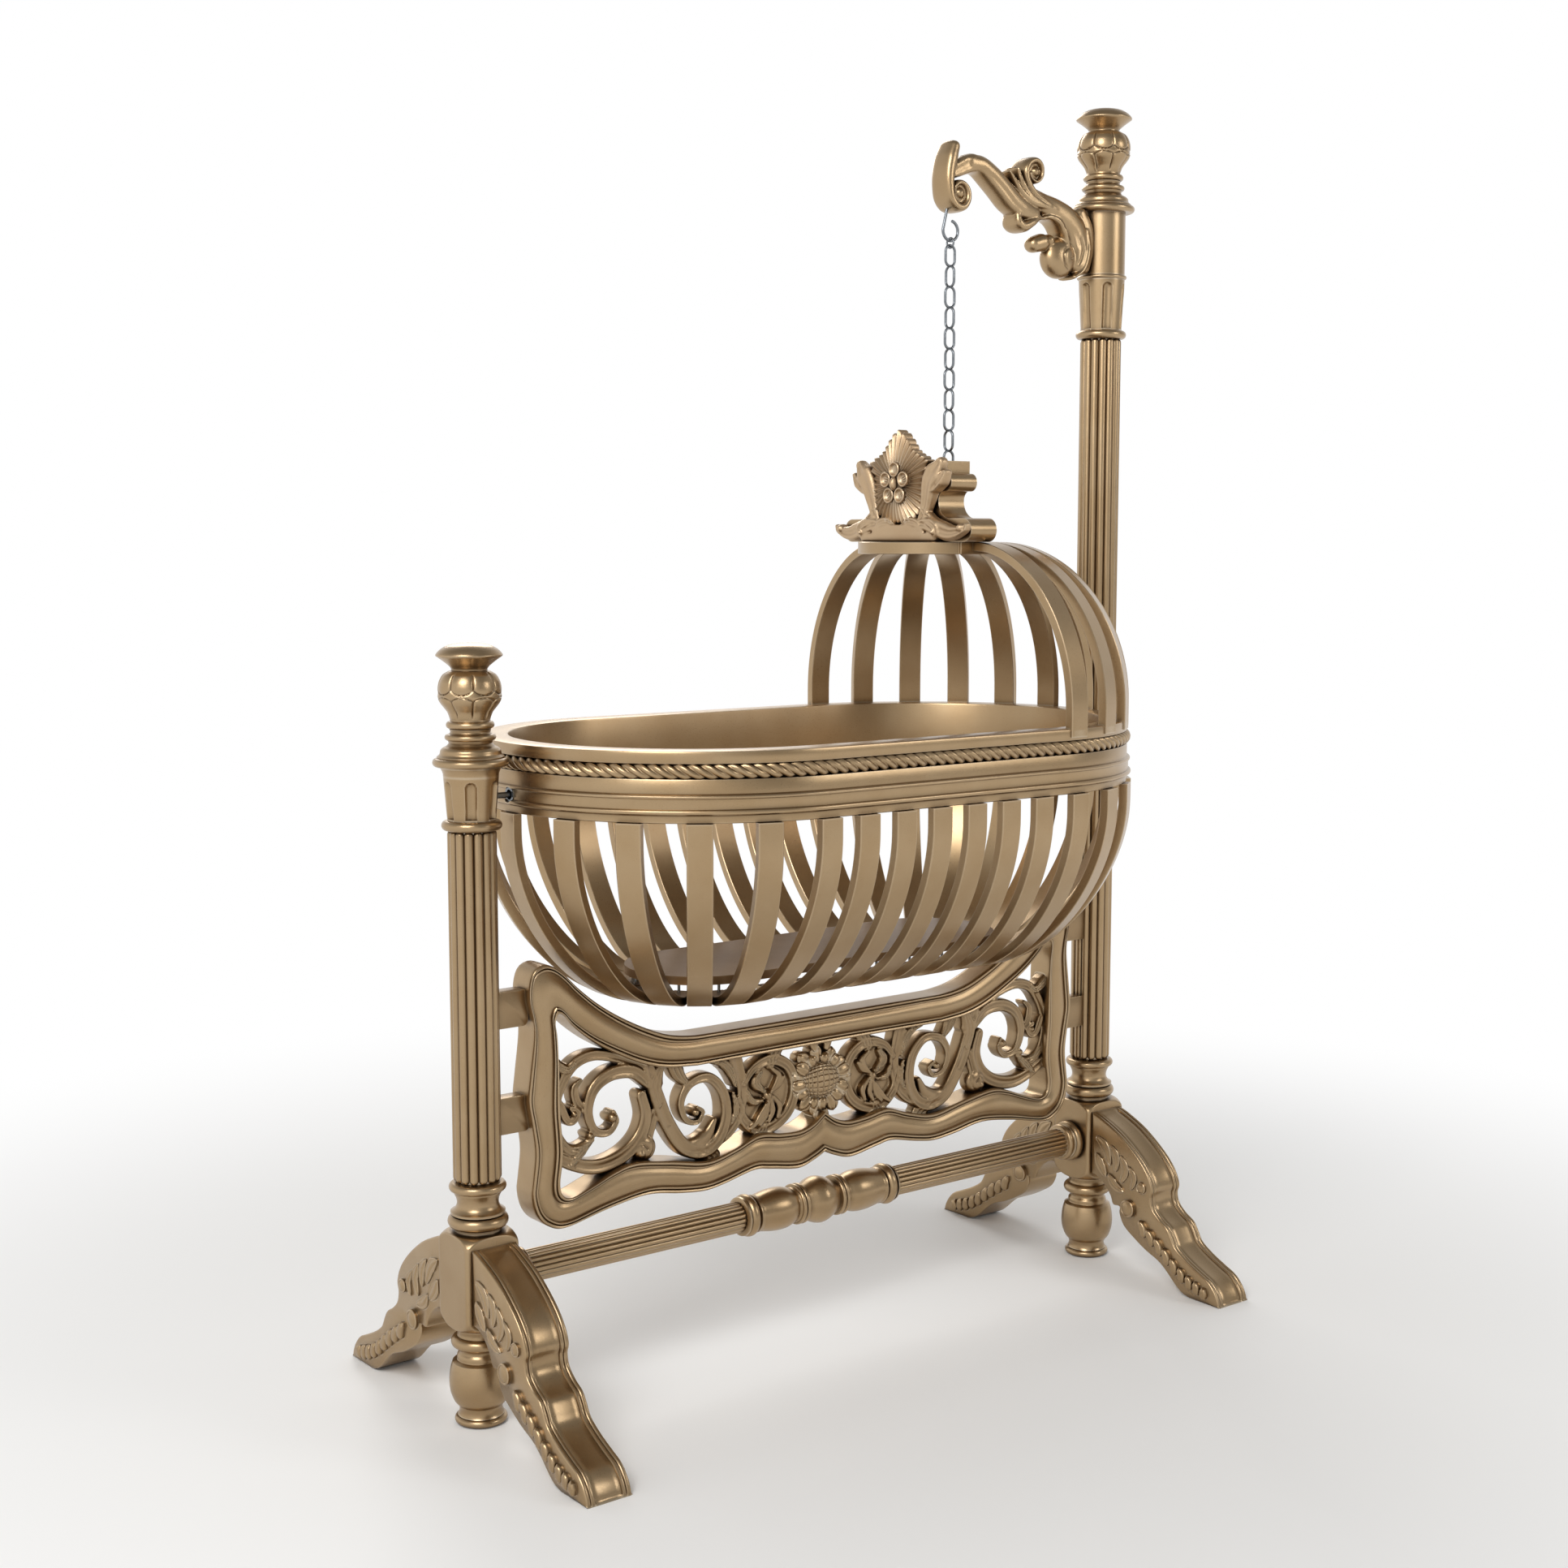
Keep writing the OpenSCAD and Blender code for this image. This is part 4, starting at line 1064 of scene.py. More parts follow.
@dataclass
class TurnedPost:
    """A turned foot, a square hub, a reeded post and its finial, all on one axis.

    Attributes:
        name: Name of the post in the record.
        x: Place of its axis.
        ring_z: Height of the ring on top of the reeded shaft.
        capital_h: Height of the fluted capital.
        top_z: Height at which the finial starts.
        sleeved: Whether the post ends in the spigot of the arm's sleeve.
        shaft_z: Height at which the reeds start.
        shaft_r: Radius over the reeds.
        reeds: Number of reeds.
        reed_r: Radius of a reed.
        hub_half: Half the width of the square hub.
        flute_r: Radius of a flute in the capital.
        flute_out: How far outside the capital's face a flute's axis lies.
    """

    name: str
    x: float
    ring_z: float
    capital_h: float
    top_z: float
    sleeved: bool
    shaft_z: float = 330.0
    shaft_r: float = 32.0
    reeds: int = 14
    reed_r: float = 6.2
    hub_half: float = 40.0
    flute_r: float = 8.6
    flute_out: float = 3.2

    def foot(self) -> Shell:
        """Builds the turned foot.

        Returns:
            Its shell.
        """
        profile = np.vstack([[[28, 0], [30, 0]], bead(35, 5.5, 5.5),
                             curve([[31, 11.5], [29.2, 15], [28.6, 20], [30, 25]]),
                             curve([[30, 25], [33.5, 28.5], [36.8, 34], [40.2, 44], [41.6, 55], [41.2, 66], [39.4, 77],
                                    [37, 85]]),
                             [[34.8, 86.5], [31.4, 88]], curve([[31, 89], [30.6, 94], [28.2, 98], [28, 101]]),
                             bead(38.5, 112.5, 8), curve([[30.5, 121], [29.8, 125], [31.5, 131]]), [[31.5, 132.5]]])
        return Shell().revolve(profile, 80, at_post(self.x))

    def hub(self) -> Shell:
        """Builds the square hub, whose faces end in round arches.

        Returns:
            Its shell.
        """
        def square(angle: np.ndarray, height: np.ndarray, radius: np.ndarray) -> np.ndarray:
            """Limits the turned radius to the square, with eased edges.

            Args:
                angle: Angles.
                height: Heights.
                radius: Turned radii.

            Returns:
                The carved radii.
            """
            flat = self.hub_half / np.maximum(np.abs(np.cos(angle)), np.abs(np.sin(angle)))
            flat = flat - 2.2 * np.exp(-((np.abs(np.mod(angle, np.pi / 2) - np.pi / 4)) / 0.035) ** 2)
            low = np.minimum(flat, radius)
            return low - 0.7 * np.exp(-np.abs(flat - radius) / 0.9)

        outline = curve([[34, 132], [42, 135.5], [48.5, 141], [54, 148.5], [57.5, 158], [58.2, 170], [58.2, 225],
                         [57.4, 243], [53.6, 252], [48, 258.6], [42, 262.2], [34, 264]], 7)
        return Shell().revolve(outline, 192, at_post(self.x), square)

    def column(self, bench: Workshop) -> Mesh:
        """Builds the post: moulded base, reeded shaft, ring, fluted capital and collar.

        Args:
            bench: The workshop.

        Returns:
            Its mesh.
        """
        place, core = at_post(self.x), self.shaft_r - self.reed_r
        base = np.vstack([[[31.5, 264]], bead(40.3, 277, 9), [[36, 287], [36.3, 290]],
                          curve([[33, 291.5], [29.4, 295.5], [27.6, 301], [28.6, 308], [32, 315.5]]),
                          bead(38, 323, 6), [[core + 1, 331], [core + 0.4, self.ring_z]],
                          bead(39.4, self.ring_z + 6.5, 6.5), [[31.6, self.ring_z + 13.4]]])
        shell = Shell().revolve(base, 84, place)
        low = self.ring_z + 13
        top = low + self.capital_h
        dome = top - 14

        def flutes(angle: np.ndarray, height: np.ndarray, radius: np.ndarray) -> np.ndarray:
            """Cuts six round-topped flutes into the capital.

            Args:
                angle: Angles.
                height: Heights.
                radius: Turned radii.

            Returns:
                The carved radii.
            """
            off = np.mod(angle + np.pi / 6, np.pi / 3) - np.pi / 6
            far = radius + self.flute_out
            wide = self.flute_r ** 2 - np.clip(height - dome, 0, 99) ** 2
            reach = wide - (far * np.sin(off)) ** 2
            cut = far * np.cos(off) - np.sqrt(np.clip(reach, 0, None))
            lip = np.exp(-np.abs(np.sqrt(np.clip(wide, 0.01, None)) - np.abs(far * np.sin(off)) - 0.8) / 0.8)
            return np.where((reach > 0) & (height > low + 2.6), np.minimum(radius, cut),
                            radius + 0.7 * lip * (height < dome + 9.4))

        z = np.unique(np.concatenate([[low, low + 2.5, low + 2.7], np.linspace(low + 3, dome, 8),
                                      np.linspace(dome, dome + self.flute_r, 16),
                                      np.linspace(dome + 9, top, 4)]))
        capital = np.stack([31.5 + 4.5 * (z - low) / self.capital_h, z], -1)
        shell.revolve(capital, 192, place, flutes)
        if self.sleeved:
            collar = np.vstack([[[34, top - 1], [35.5, top]], bead(38.8, top + 3, 3), [[34, top + 6.2]]])
        else:
            collar = np.vstack([[[35.5, top - 1]],
                                curve([[36, top], [36.4, top + 3.5], [38.5, top + 8.5], [41, top + 11.9]]),
                                [[30, top + 12]]])
        shell.revolve(collar, 84, place)
        span, q = self.ring_z + 1.0 - self.shaft_z, self.reed_r
        t = np.concatenate([q * (1 - np.cos(np.linspace(0.12, np.pi / 2, 7))), [span * 0.5],
                            span - q * (1 - np.cos(np.linspace(np.pi / 2, 0.12, 7)))])
        r = np.sqrt(np.clip(q * q - np.clip(q - np.minimum(t, span - t), 0, q) ** 2, 0.3, None))
        reeds = bench.repeat.run(reed(core, r, self.shaft_z + t, 16), self.reeds, turn=(0, 0, 360 / self.reeds))
        reeds.transform(shift((self.x, 0, 0)))
        return joined(self.name, [shell.mesh(self.name), reeds])

    def finial(self) -> Shell:
        """Builds the finial: collar, beads, lobed bulb with diamonds, and flared cap.

        Returns:
            Its shell.
        """
        def carved(angle: np.ndarray, height: np.ndarray, radius: np.ndarray) -> np.ndarray:
            """Cuts eight lobes above and below a row of diamonds.

            Args:
                angle: Angles.
                height: Heights.
                radius: Turned radii.

            Returns:
                The carved radii.
            """
            z = height - self.top_z
            off = np.abs(np.mod(angle + np.pi / 8, np.pi / 4) - np.pi / 8) / (np.pi / 8)
            bulge = np.cos(off * np.pi / 2) ** 0.7
            z_low, z_high = 85.5 + 5 * bulge, 100.5 - 6.5 * bulge
            inside = (z > 61) & (z < 124)
            seam = np.exp(-((1 - off) / 0.085) ** 2) * ((z < z_low + 0.5) | (z > z_high - 0.5))
            edge = np.exp(-((z - z_low) / 0.95) ** 2) + np.exp(-((z - z_high) / 0.95) ** 2)
            lobe = 1.5 * (bulge - 0.6) * ((z < z_low) | (z > z_high))
            fade = np.clip((z - 61) / 8, 0, 1) * np.clip((124 - z) / 6, 0, 1)
            return np.where(inside, radius + fade * (lobe - 1.7 * np.clip(seam + edge, 0, 1)), radius)

        profile = np.vstack([
            [[36, 0], [44, 0]], bead(49.5, 5.5, 5.5), curve([[43.6, 11.5], [43.7, 13], [40.6, 15.5], [39.6, 18],
                                                             [39, 21], [36.5, 24], [31, 27], [28, 30.5]]),
            bead(33.2, 38, 4), curve([[27.5, 42.5], [25.9, 45], [27, 48.5]]), bead(31.2, 54, 5),
            curve([[26, 60.5], [26.2, 62], [28.8, 70], [33.2, 76], [38.4, 83], [41, 90], [40.6, 95], [40.8, 101],
                   [40.2, 106], [38.4, 112], [34, 119], [27, 123.5]], 6),
            curve([[23.4, 124.6], [23.6, 126.5], [25.6, 129.5], [29.6, 133], [35, 137.2], [40, 140.8]]),
            [[42.9, 142.8], [43.3, 143.8], [42.9, 145.0]],
            curve([[41.2, 147.4], [36.7, 151.6], [28.8, 156], [17.5, 158.8], [8, 159.6], [1, 159.8]])])
        profile[:, 1] += self.top_z
        return Shell().revolve(profile, 192, at_post(self.x), carved)

    def build(self, bench: Workshop) -> None:
        """Builds and places the four pieces.

        Args:
            bench: The workshop.
        """
        side = self.name.split("_")[0]
        bench.piece(f"{side}_foot_turning", self.foot().mesh("foot"), [f"{side}_turned_foot"])
        bench.piece(f"{side}_hub_shaped", self.hub().mesh("hub"), [f"{side}_hub_block"])
        bench.piece(f"{side}_post_reeded", self.column(bench), [self.name])
        bench.piece(f"{side}_finial_carved", self.finial().mesh("finial", 50), [f"{self.name}_finial"])


@dataclass
class ScrollLeg:
    """A scroll leg with double beads along its back and a row of leaf lobes on its sides.

    Attributes:
        name: Name of the leg in the record.
        x: Place of its post's axis.
        side: -1 for a front leg, 1 for a back leg.
        half: Half its thickness.
        upper: Points of its back, from the hub down to the toe.
        lower: Points of its underside, from the toe back to the hub.
    """

    name: str
    x: float
    side: int
    half: float = 33.0
    upper: Points = (
        (40, 250), (60, 244), (100, 226), (140, 198), (163, 174), (173, 152), (170, 137), (174, 122), (188, 109),
        (205, 99), (214, 87), (224, 71), (246, 57), (272, 45), (292, 36), (305, 24), (313, 11), (316, 0))
    lower: Points = (
        (255, 0), (240, 4), (226, 13), (205, 31), (188, 42), (162, 52), (135, 66), (114, 80), (104, 98), (104, 109),
        (90, 109), (84, 122), (70, 138), (54, 147.5), (40, 149))

    def place(self, p: np.ndarray) -> np.ndarray:
        """Puts points drawn as (distance from the post, height, sideways) in place."""
        return np.stack([self.x + p[..., 2], self.side * p[..., 0], p[..., 1]], -1)

    def blank(self, shell: Shell) -> None:
        """Adds the leg's moulded body.

        Args:
            shell: The leg's shell.
        """
        back, under = curve(self.upper, 5), curve(self.lower, 3)
        loop = np.vstack([back, under])
        heading = headings(np.vstack([loop[-1:], loop, loop[:1]]))[1:-1]
        inward = left_of(heading)
        inward *= -1 if np.mean((loop - loop.mean(0)) * inward) > 0 else 1
        on_back = np.zeros(len(loop))
        on_back[:len(back)] = np.clip(np.minimum(np.arange(len(back)) / 3, (len(back) - 1 - np.arange(len(back))) / 2),
                                      0, 1)
        moulding = [(-33, 3.2, 1.4), (-32.4, 1.2, 0.5), (-31.2, 0.2, 0.1), (-29.6, 0, 0), (-27.8, 0.3, 0),
                    (-26.6, 1.2, 0), (-26, 2.6, 0), (-25.4, 1.2, 0), (-24.2, 0.5, 0), (-22.6, 0.4, 0), (-21, 0.9, 0),
                    (-20, 2.8, 0), (-19, 2.2, 0), (-12, 2.9, 0), (0, 3.3, 0)]
        moulding += [(-x, a, b) for x, a, b in moulding[-2::-1]]
        rings = [np.column_stack([loop + inward * (a * on_back + b * (1 - on_back))[:, None], np.full(len(loop), x)])
                 for x, a, b in moulding]
        shell.loft(np.stack(rings), place=self.place)

    def carving(self, shell: Shell) -> None:
        """Adds bosses, leaf lobes and leaves to both sides.

        Args:
            shell: The leg's shell.
        """
        for s in (-1, 1):
            def flat(p: np.ndarray, s: int = s) -> np.ndarray:
                """Lays carving on one side of the leg."""
                return self.place(np.stack([p[..., 0], p[..., 1], s * self.half + p[..., 2]], -1))
            shell.button(124, 111, 14, 6.5, flat)
            shell.button(152, 151, 9.5, 5, flat)
            lobes = [(161, 72, 150, 98), (178, 62, 166, 88), (195, 51, 184, 78), (211, 40, 201, 66), (226, 29, 218, 54),
                     (241, 20, 235, 44), (256, 13, 252, 36), (270, 9, 268, 31), (283, 7, 284, 26)]
            for x0, z0, x1, z1 in lobes:
                ribbon(shell, Scroll([(x1, z1), ((x0 + x1) / 2 + 3, (z0 + z1) / 2 + 1), (x0, z0)], (9, 13.5, 15, 14),
                                     (7.0,), ridges=1), flat)
            for line, wide in (([(52, 214), (72, 198), (84, 172)], 20), ([(84, 206), (96, 188), (96, 164)], 17),
                               ([(52, 186), (62, 168), (76, 152)], 20), ([(106, 194), (116, 172), (108, 148)], 17),
                               ([(124, 180), (136, 162), (130, 142)], 13), ([(80, 158), (94, 142), (114, 136)], 17)):
                ribbon(shell, Scroll(line, (0.3 * wide, wide, 0.9 * wide, 0.3 * wide), (2.8,), ridge=1.4), flat)

    def build(self, bench: Workshop) -> None:
        """Builds and places the leg.

        Args:
            bench: The workshop.
        """
        shell = Shell()
        self.blank(shell)
        self.carving(shell)
        bench.piece(f"{self.name}_carved", shell.mesh(self.name), [self.name])


@dataclass
class Stretcher:
    """The turned stretcher: two reeded rails with collars and a turned piece in the middle.

    Attributes:
        z: Height of its axis.
        radius: Radius over the reeds.
        reeds: Number of reeds.
        reed_r: Radius of a reed.
        middle: Where the middle piece ends, from the cradle's middle.
        end: Where the rails end.
    """

    z: float = STRETCHER_Z
    radius: float = 22.5
    reeds: int = 18
    reed_r: float = 3.5
    middle: float = 143.0
    end: float = 530.0

    def rail(self, bench: Workshop, side: int) -> Mesh:
        """Builds one reeded rail.

        Args:
            bench: The workshop.
            side: -1 for the left rail, 1 for the right one.

        Returns:
            Its mesh.
        """
        span = self.end - 24 - self.middle
        core = self.radius - self.reed_r
        collar = np.vstack([[[core, self.middle], [core + 0.3, self.end - 30]], bead(29, self.end - 23, 5),
                            curve([[25, self.end - 18], [24.5, self.end - 15.5], [27, self.end - 13.5]]),
                            bead(32, self.end - 7, 6.6), [[30, self.end]]])
        collar[:, 1] *= side
        t = np.array([0.05, 0.4, 1.4, 3.4, span - 3.4, span - 1.4, span - 0.4, span - 0.05])
        r = self.reed_r * np.array([0.3, 0.7, 0.92, 1, 1, 0.92, 0.7, 0.3])
        rod = reed(core, r, side * (self.middle + 0.5 + t), 12, along_x(0))
        reeds = bench.repeat.run(rod, self.reeds, turn=(360 / self.reeds, 0, 0))
        reeds.transform(shift((0, 0, self.z)))
        return joined("rail", [Shell().revolve(collar, 64, along_x(self.z)).mesh("rail"), reeds])

    def turning(self) -> Shell:
        """Builds the turned middle piece.

        Returns:
            Its shell.
        """
        half = np.vstack([curve([[35, 0], [34.2, 6], [31.5, 14], [27.5, 22], [24, 28.5]]), bead(30.2, 33.5, 3.6),
                          bead(30.2, 41, 3.6), curve([[26, 45.5], [25, 48], [26, 51], [28, 56], [30.6, 66], [31.2, 78],
                                                      [30.2, 92], [27.4, 108], [26.6, 113]]),
                          [[27.6, 115], [27.6, 118.5], [24.8, 120]], bead(31, 129.5, 8.5),
                          [[28.5, 138.2], [28, 141], [24, 143]]])
        profile = np.vstack([half[::-1] * [1, -1], half[1:]])
        return Shell().revolve(profile, 72, along_x(self.z))

    def build(self, bench: Workshop) -> None:
        """Builds and places the three pieces.

        Args:
            bench: The workshop.
        """
        for side, word in ((-1, "left"), (1, "right")):
            bench.piece(f"{word}_rail_reeded", self.rail(bench, side), [f"stretcher_{word}_rail"])
        bench.piece("stretcher_middle_turned", self.turning().mesh("middle"), ["stretcher_turning"])


@dataclass
class CarvedPanel:
    """The carved panel between the posts: moulded frame, scrollwork, flower and brackets.

    Attributes:
        fullness: What the scrolls' drawn widths are multiplied by.
        thickness: What the scrolls' drawn depths are multiplied by.
        cell: Size of the cells that the scrollwork is carved in.
        beading: Width of the double bead along each edge of the frame.
        petals: Petals in each of the flower's two rings.
        outer: Right half of the frame's outer edge, from the bottom round to the top.
        inner: Right half of its inner edge.
    """

    fullness: float = 1.22
    thickness: float = 1.48
    cell: float = 1.65
    beading: float = 10.9
    petals: int = 11
    outer: Points = (
        (0, 28), (20, 19), (50, 11.5), (100, 19.5), (130, 23), (180, 13), (215, 8.5), (257, 12.5), (315, 21),
        (381, 13), (447, 0), (475, 7.5), (492, 25), (499, 51), (497, 72), (493, 110), (498, 150), (503, 182),
        (500, 212), (493, 268), (495, 296), (500, 320), (499, 342), (492, 358), (478, 364.5), (463, 361),
        (446, 349), (426, 329), (396, 304), (361, 281), (319, 259), (277, 242.5), (236, 235.5), (200, 234.5))
    inner: Points = (
        (0, 89), (20, 75), (45, 67.5), (80, 69), (120, 74), (160, 61), (210, 50.5), (270, 61), (330, 70), (365, 64),
        (400, 51), (435, 40), (451, 46), (455, 64), (450, 105), (454, 160), (455, 215), (457, 262), (460, 282),
        (455, 295), (445, 290), (430, 273), (399, 249), (361, 227), (319, 207), (280, 196), (230, 191.5))

    def frame_loop(self, points: Points, corners: Sequence[int]) -> np.ndarray:
        """Spreads an edge of the frame evenly between its corners and mirrors it.

        Args:
            points: Points of the right half, from the bottom round to the top.
            corners: Numbers of the two corner points.

        Returns:
            The whole loop.
        """
        steps = 6
        line = curve(points, steps)
        a, b = (c * steps for c in corners)
        top = np.array([line[-1], [0, line[-1][1]]])
        half = np.vstack([even(line[:a + 1], 90)[:-1], even(line[a:b + 1], 60)[:-1], even(line[b:], 64)[:-1],
                          even(top, 16)])
        return np.vstack([half, half[-2:0:-1] * [-1, 1]])

    def moulded_frame(self) -> Shell:
        """Builds the frame with double beads along both edges and a convex middle.

        Returns:
            Its shell.
        """
        out, inn = self.frame_loop(self.outer, (11, 24)), self.frame_loop(self.inner, (11, 19))
        width = np.linalg.norm(inn - out, axis=1)
        edge = [(0, 15.5), (0, 19.5), (0.5, 21.4), (1.6, 22.6), (3.2, 23), (4.6, 22.4), (5.4, 21.2), (5.9, 19.8),
                (6.5, 21), (7.6, 21.8), (8.9, 21.7), (10, 20.8), (10.6, 19)]
        front = [(np.minimum(d / width, 0.5), h) for d, h in edge]
        front += [((self.beading + (width - 2 * self.beading) * f) / width, 18.6 + 4.2 * math.sin(math.pi * f) ** 0.8)
                  for f in np.linspace(0.04, 0.96, 11)]
        front += [(1 - share, h) for share, h in front[len(edge) - 1::-1]]
        ring = [(share, -h) for share, h in front] + front[::-1]
        rings = [np.column_stack([out + (inn - out) * share[:, None], np.full(len(out), h)]) for share, h in ring]
        return Shell().loft(np.stack(rings, 1), True, facing_front(PANEL_Z))

    def scrollwork(self) -> Block:
        """Carves the right half of the scrollwork.

        Returns:
            Its block.
        """
        rims, leaf = {"hollow": 4.4, "square": 3.6}, {"ridge": 2.8, "ridges": 2, "blend": 0.5}
        block = Block((28, 28, -19), (470, 238, 19), self.cell)
        scrolls = [
            Scroll([(316, 160), (309, 128), (322, 98), (352, 78), (392, 72), (432, 84), (462, 102)],
                   (14, 17, 19, 19, 18, 16, 12), (10,), **rims),
            Scroll([(304, 176), (330, 196), (366, 198), (394, 182), (404, 152), (394, 124), (372, 117), (358, 130),
                    (362, 144)], (14, 17, 18, 17, 15, 13, 11, 9, 6), (11, 11, 11, 10.5, 10), **rims),
            Scroll([(292, 184), (322, 204), (358, 220), (394, 228), (424, 220), (444, 196), (456, 162), (452, 128),
                    (436, 104)], (12, 12, 12, 13, 14, 14, 13, 12, 10), (9.5,), **rims),
            Scroll([(448, 168), (438, 146), (428, 142), (420, 152), (430, 160)], (10, 11, 10, 9, 7), (10.5,), **rims),
            Scroll([(452, 118), (430, 101), (408, 104), (394, 120)], (12, 15, 14, 7), (9,), **leaf),
            Scroll([(430, 82), (414, 98), (398, 112)], (8, 15, 8), (10,), **leaf),
            Scroll([(404, 150), (420, 166), (424, 186), (414, 196)], (8, 12, 12, 6), (9,), **rims),
            Scroll([(464, 236), (448, 220), (434, 214), (426, 222)], (8, 15, 13, 7), (10,), **leaf),
            Scroll([(306, 216), (300, 184), (288, 148), (272, 112), (246, 76), (214, 63), (186, 76), (172, 108),
                    (178, 144), (202, 168), (234, 164), (250, 140), (242, 114), (222, 107), (212, 120), (222, 128)],
                   (10, 17, 20, 20, 20, 20, 18, 17, 16, 15, 14, 12, 11, 9, 7, 5), (11, 11, 11, 11, 10.5, 10), **rims),
            Scroll([(288, 146), (302, 110), (310, 82)], (8, 16, 14), (9,), **rims),
            Scroll([(282, 204), (294, 172), (288, 142)], (10, 26, 8), (10.5,), **leaf),
            Scroll([(310, 206), (308, 190), (296, 166)], (6, 14, 6), (9.5,), **leaf),
            Scroll([(230, 70), (208, 62), (192, 50), (186, 38)], (8, 20, 24, 18), (9,), **leaf),
            Scroll([(264, 208), (252, 180), (236, 162)], (22, 20, 8), (9,), **leaf),
            Scroll([(200, 64), (168, 82), (150, 104), (142, 138), (148, 168), (158, 202)],
                   (8, 14, 16, 16, 18, 20), (9.5,), **rims),
            Scroll([(156, 150), (164, 172), (178, 186), (196, 190)], (6, 14, 15, 6), (10,), **leaf),
            Scroll([(160, 140), (154, 116), (162, 96)], (5, 13, 5), (10,), **leaf),
            Scroll([(97, 128)], (78,), (3.4,), square=8),
            Scroll([(150, 128), (140, 96), (112, 76), (80, 82), (56, 102), (48, 134), (60, 164), (90, 178), (122, 170),
                    (140, 150)], (10, 14, 16, 16, 16, 15, 15, 15, 13, 8), (10,), **rims),
            Scroll([(104, 84), (112, 66), (122, 52)], (16, 22, 26), (9,), **leaf),
            Scroll([(92, 172), (84, 188), (76, 202)], (16, 22, 26), (9,), **leaf),
            Scroll([(192, 105), (205, 84), (230, 74), (255, 84), (270, 108)], (8, 18, 19, 17, 8), (9,), square=3),
        ] + [Scroll([(90 + 4 * k, 124 - 3 * k), (78 + 13 * k, 108 - 5 * k), (82 + 16 * k, 92 - 3 * k)], (5, 10, 6),
                    (11.5,), ridge=1.5, ridges=1, blend=0.4) for k in range(4)]
        scrolls += [Scroll([(92, 132), (78, 140 + 6 * k), (70 + 10 * k, 150 + 7 * k)], (5, 10, 6), (10.5,), ridge=1.5,
                           ridges=1, blend=0.4) for k in range(3)]
        scrolls += [Scroll([(106, 134), (120, 148), (112, 162)], (8, 15, 9), (11,), **leaf),
                    Scroll([(108, 120), (126, 122), (134, 136)], (6, 12, 7), (10.5,), **leaf),
                    Scroll([(310, 84)], (32,), (10.5,), hollow=0, square=2.6)]
        for scroll in scrolls:
            scroll.widths = [w * self.fullness for w in scroll.widths]
            scroll.depths = [d * self.thickness for d in scroll.depths]
        block.carve(scrolls + [Scroll([at], (2 * r,), (17.6,), square=2.2, blend=0.4) for at, r in (
            ((365, 137), 8), ((427, 152), 5.5), ((318, 78), 8), ((226, 122), 7), ((98, 126), 9), ((402, 118), 6.5))])
        block.carve([Scroll([(298, 96), (300, 78), (316, 66), (328, 80), (318, 92), (308, 84)], (2.6,), (3.2,),
                            level=15.5)], away=True)
        return block

    def flower(self) -> Shell:
        """Builds the flower: a domed grid of seeds inside a ring of petals.

        Returns:
            Its shell.
        """
        place = facing_front(PANEL_Z)
        shell = Shell()
        for row, (tip, start) in enumerate(((53, 0.0), (46, 16.4))):
            for k in range(self.petals):
                a = math.radians(start + 360 / self.petals * k)
                ux, uz = 1.14 * math.cos(a), math.sin(a)
                reach = tip + 3.5 * math.sin(5 * k + row)
                bend = 4 * math.sin(3 * k)
                line = [(ux * r - uz * b, 134 + uz * r + ux * b) for r, b in ((24, 0), (38, bend), (reach, 0))]
                ribbon(shell, Scroll(line, (14, 22, 24, 15), (12.5 + 4.0 * row,), ridge=2.6), place)
        for side in (-1, 1):
            for line in ([(side * 8, 176), (side * 13, 190), (side * 8, 203)],
                         [(side * 6, 92), (side * 8, 82), (side * 4, 72)]):
                ribbon(shell, Scroll(line, (8, 17, 6), (14.0,), ridge=1.5), place)
        u, v = np.linspace(0.02, 1, 44), circle(160)
        x, z = 36 * u[:, None] * np.cos(v), 28 * u[:, None] * np.sin(v)
        round_x, round_z = (q / np.sqrt(1.3 - u[:, None] ** 2) for q in (x, z))
        lines = sum(np.exp(-(np.mod(q + step / 2, step) - step / 2) ** 2 / soft)
                    for q, step, soft in ((round_x, 10, 1.0), (round_z, 8.4, 0.8)))
        depth = 9 + 11 * np.sqrt(1 - 0.98 * u[:, None] ** 2) - 1.6 * np.clip(lines, 0, 1)
        front = np.stack([x, z + 134, -depth], -1)
        back = np.stack([x, z + 134, depth], -1)[::-1]
        return shell.loft(np.concatenate([front, back]), place=place)

    def brackets(self, side: int) -> Shell:
        """Builds the two flat tabs between the frame and one post.

        Args:
            side: -1 for the left tabs, 1 for the right ones.

        Returns:
            Their shell.
        """
        shell = Shell()
        a = np.radians(np.arange(0, 91, 15))
        right = np.stack([496 + 8 - 8 * np.sin(a), 17 + 8 * np.cos(a)], -1)
        loop = np.vstack([[[541, 25]], right, right[::-1] * [1, -1], [[541, -25]]])
        middle = np.array([520.0, 0.0])
        for z in (412.0, 555.0):
            rings = [np.column_stack([middle + (loop - middle) * [1, 1 - e / 25], np.full(len(loop), h)])
                     for e, h in ((1.2, -11), (0.3, -10.6), (0, -9.6), (0, 9.6), (0.3, 10.6), (1.2, 11))]
            shell.loft(np.stack(rings) * [side, 1, 1], place=facing_front(z))
        return shell

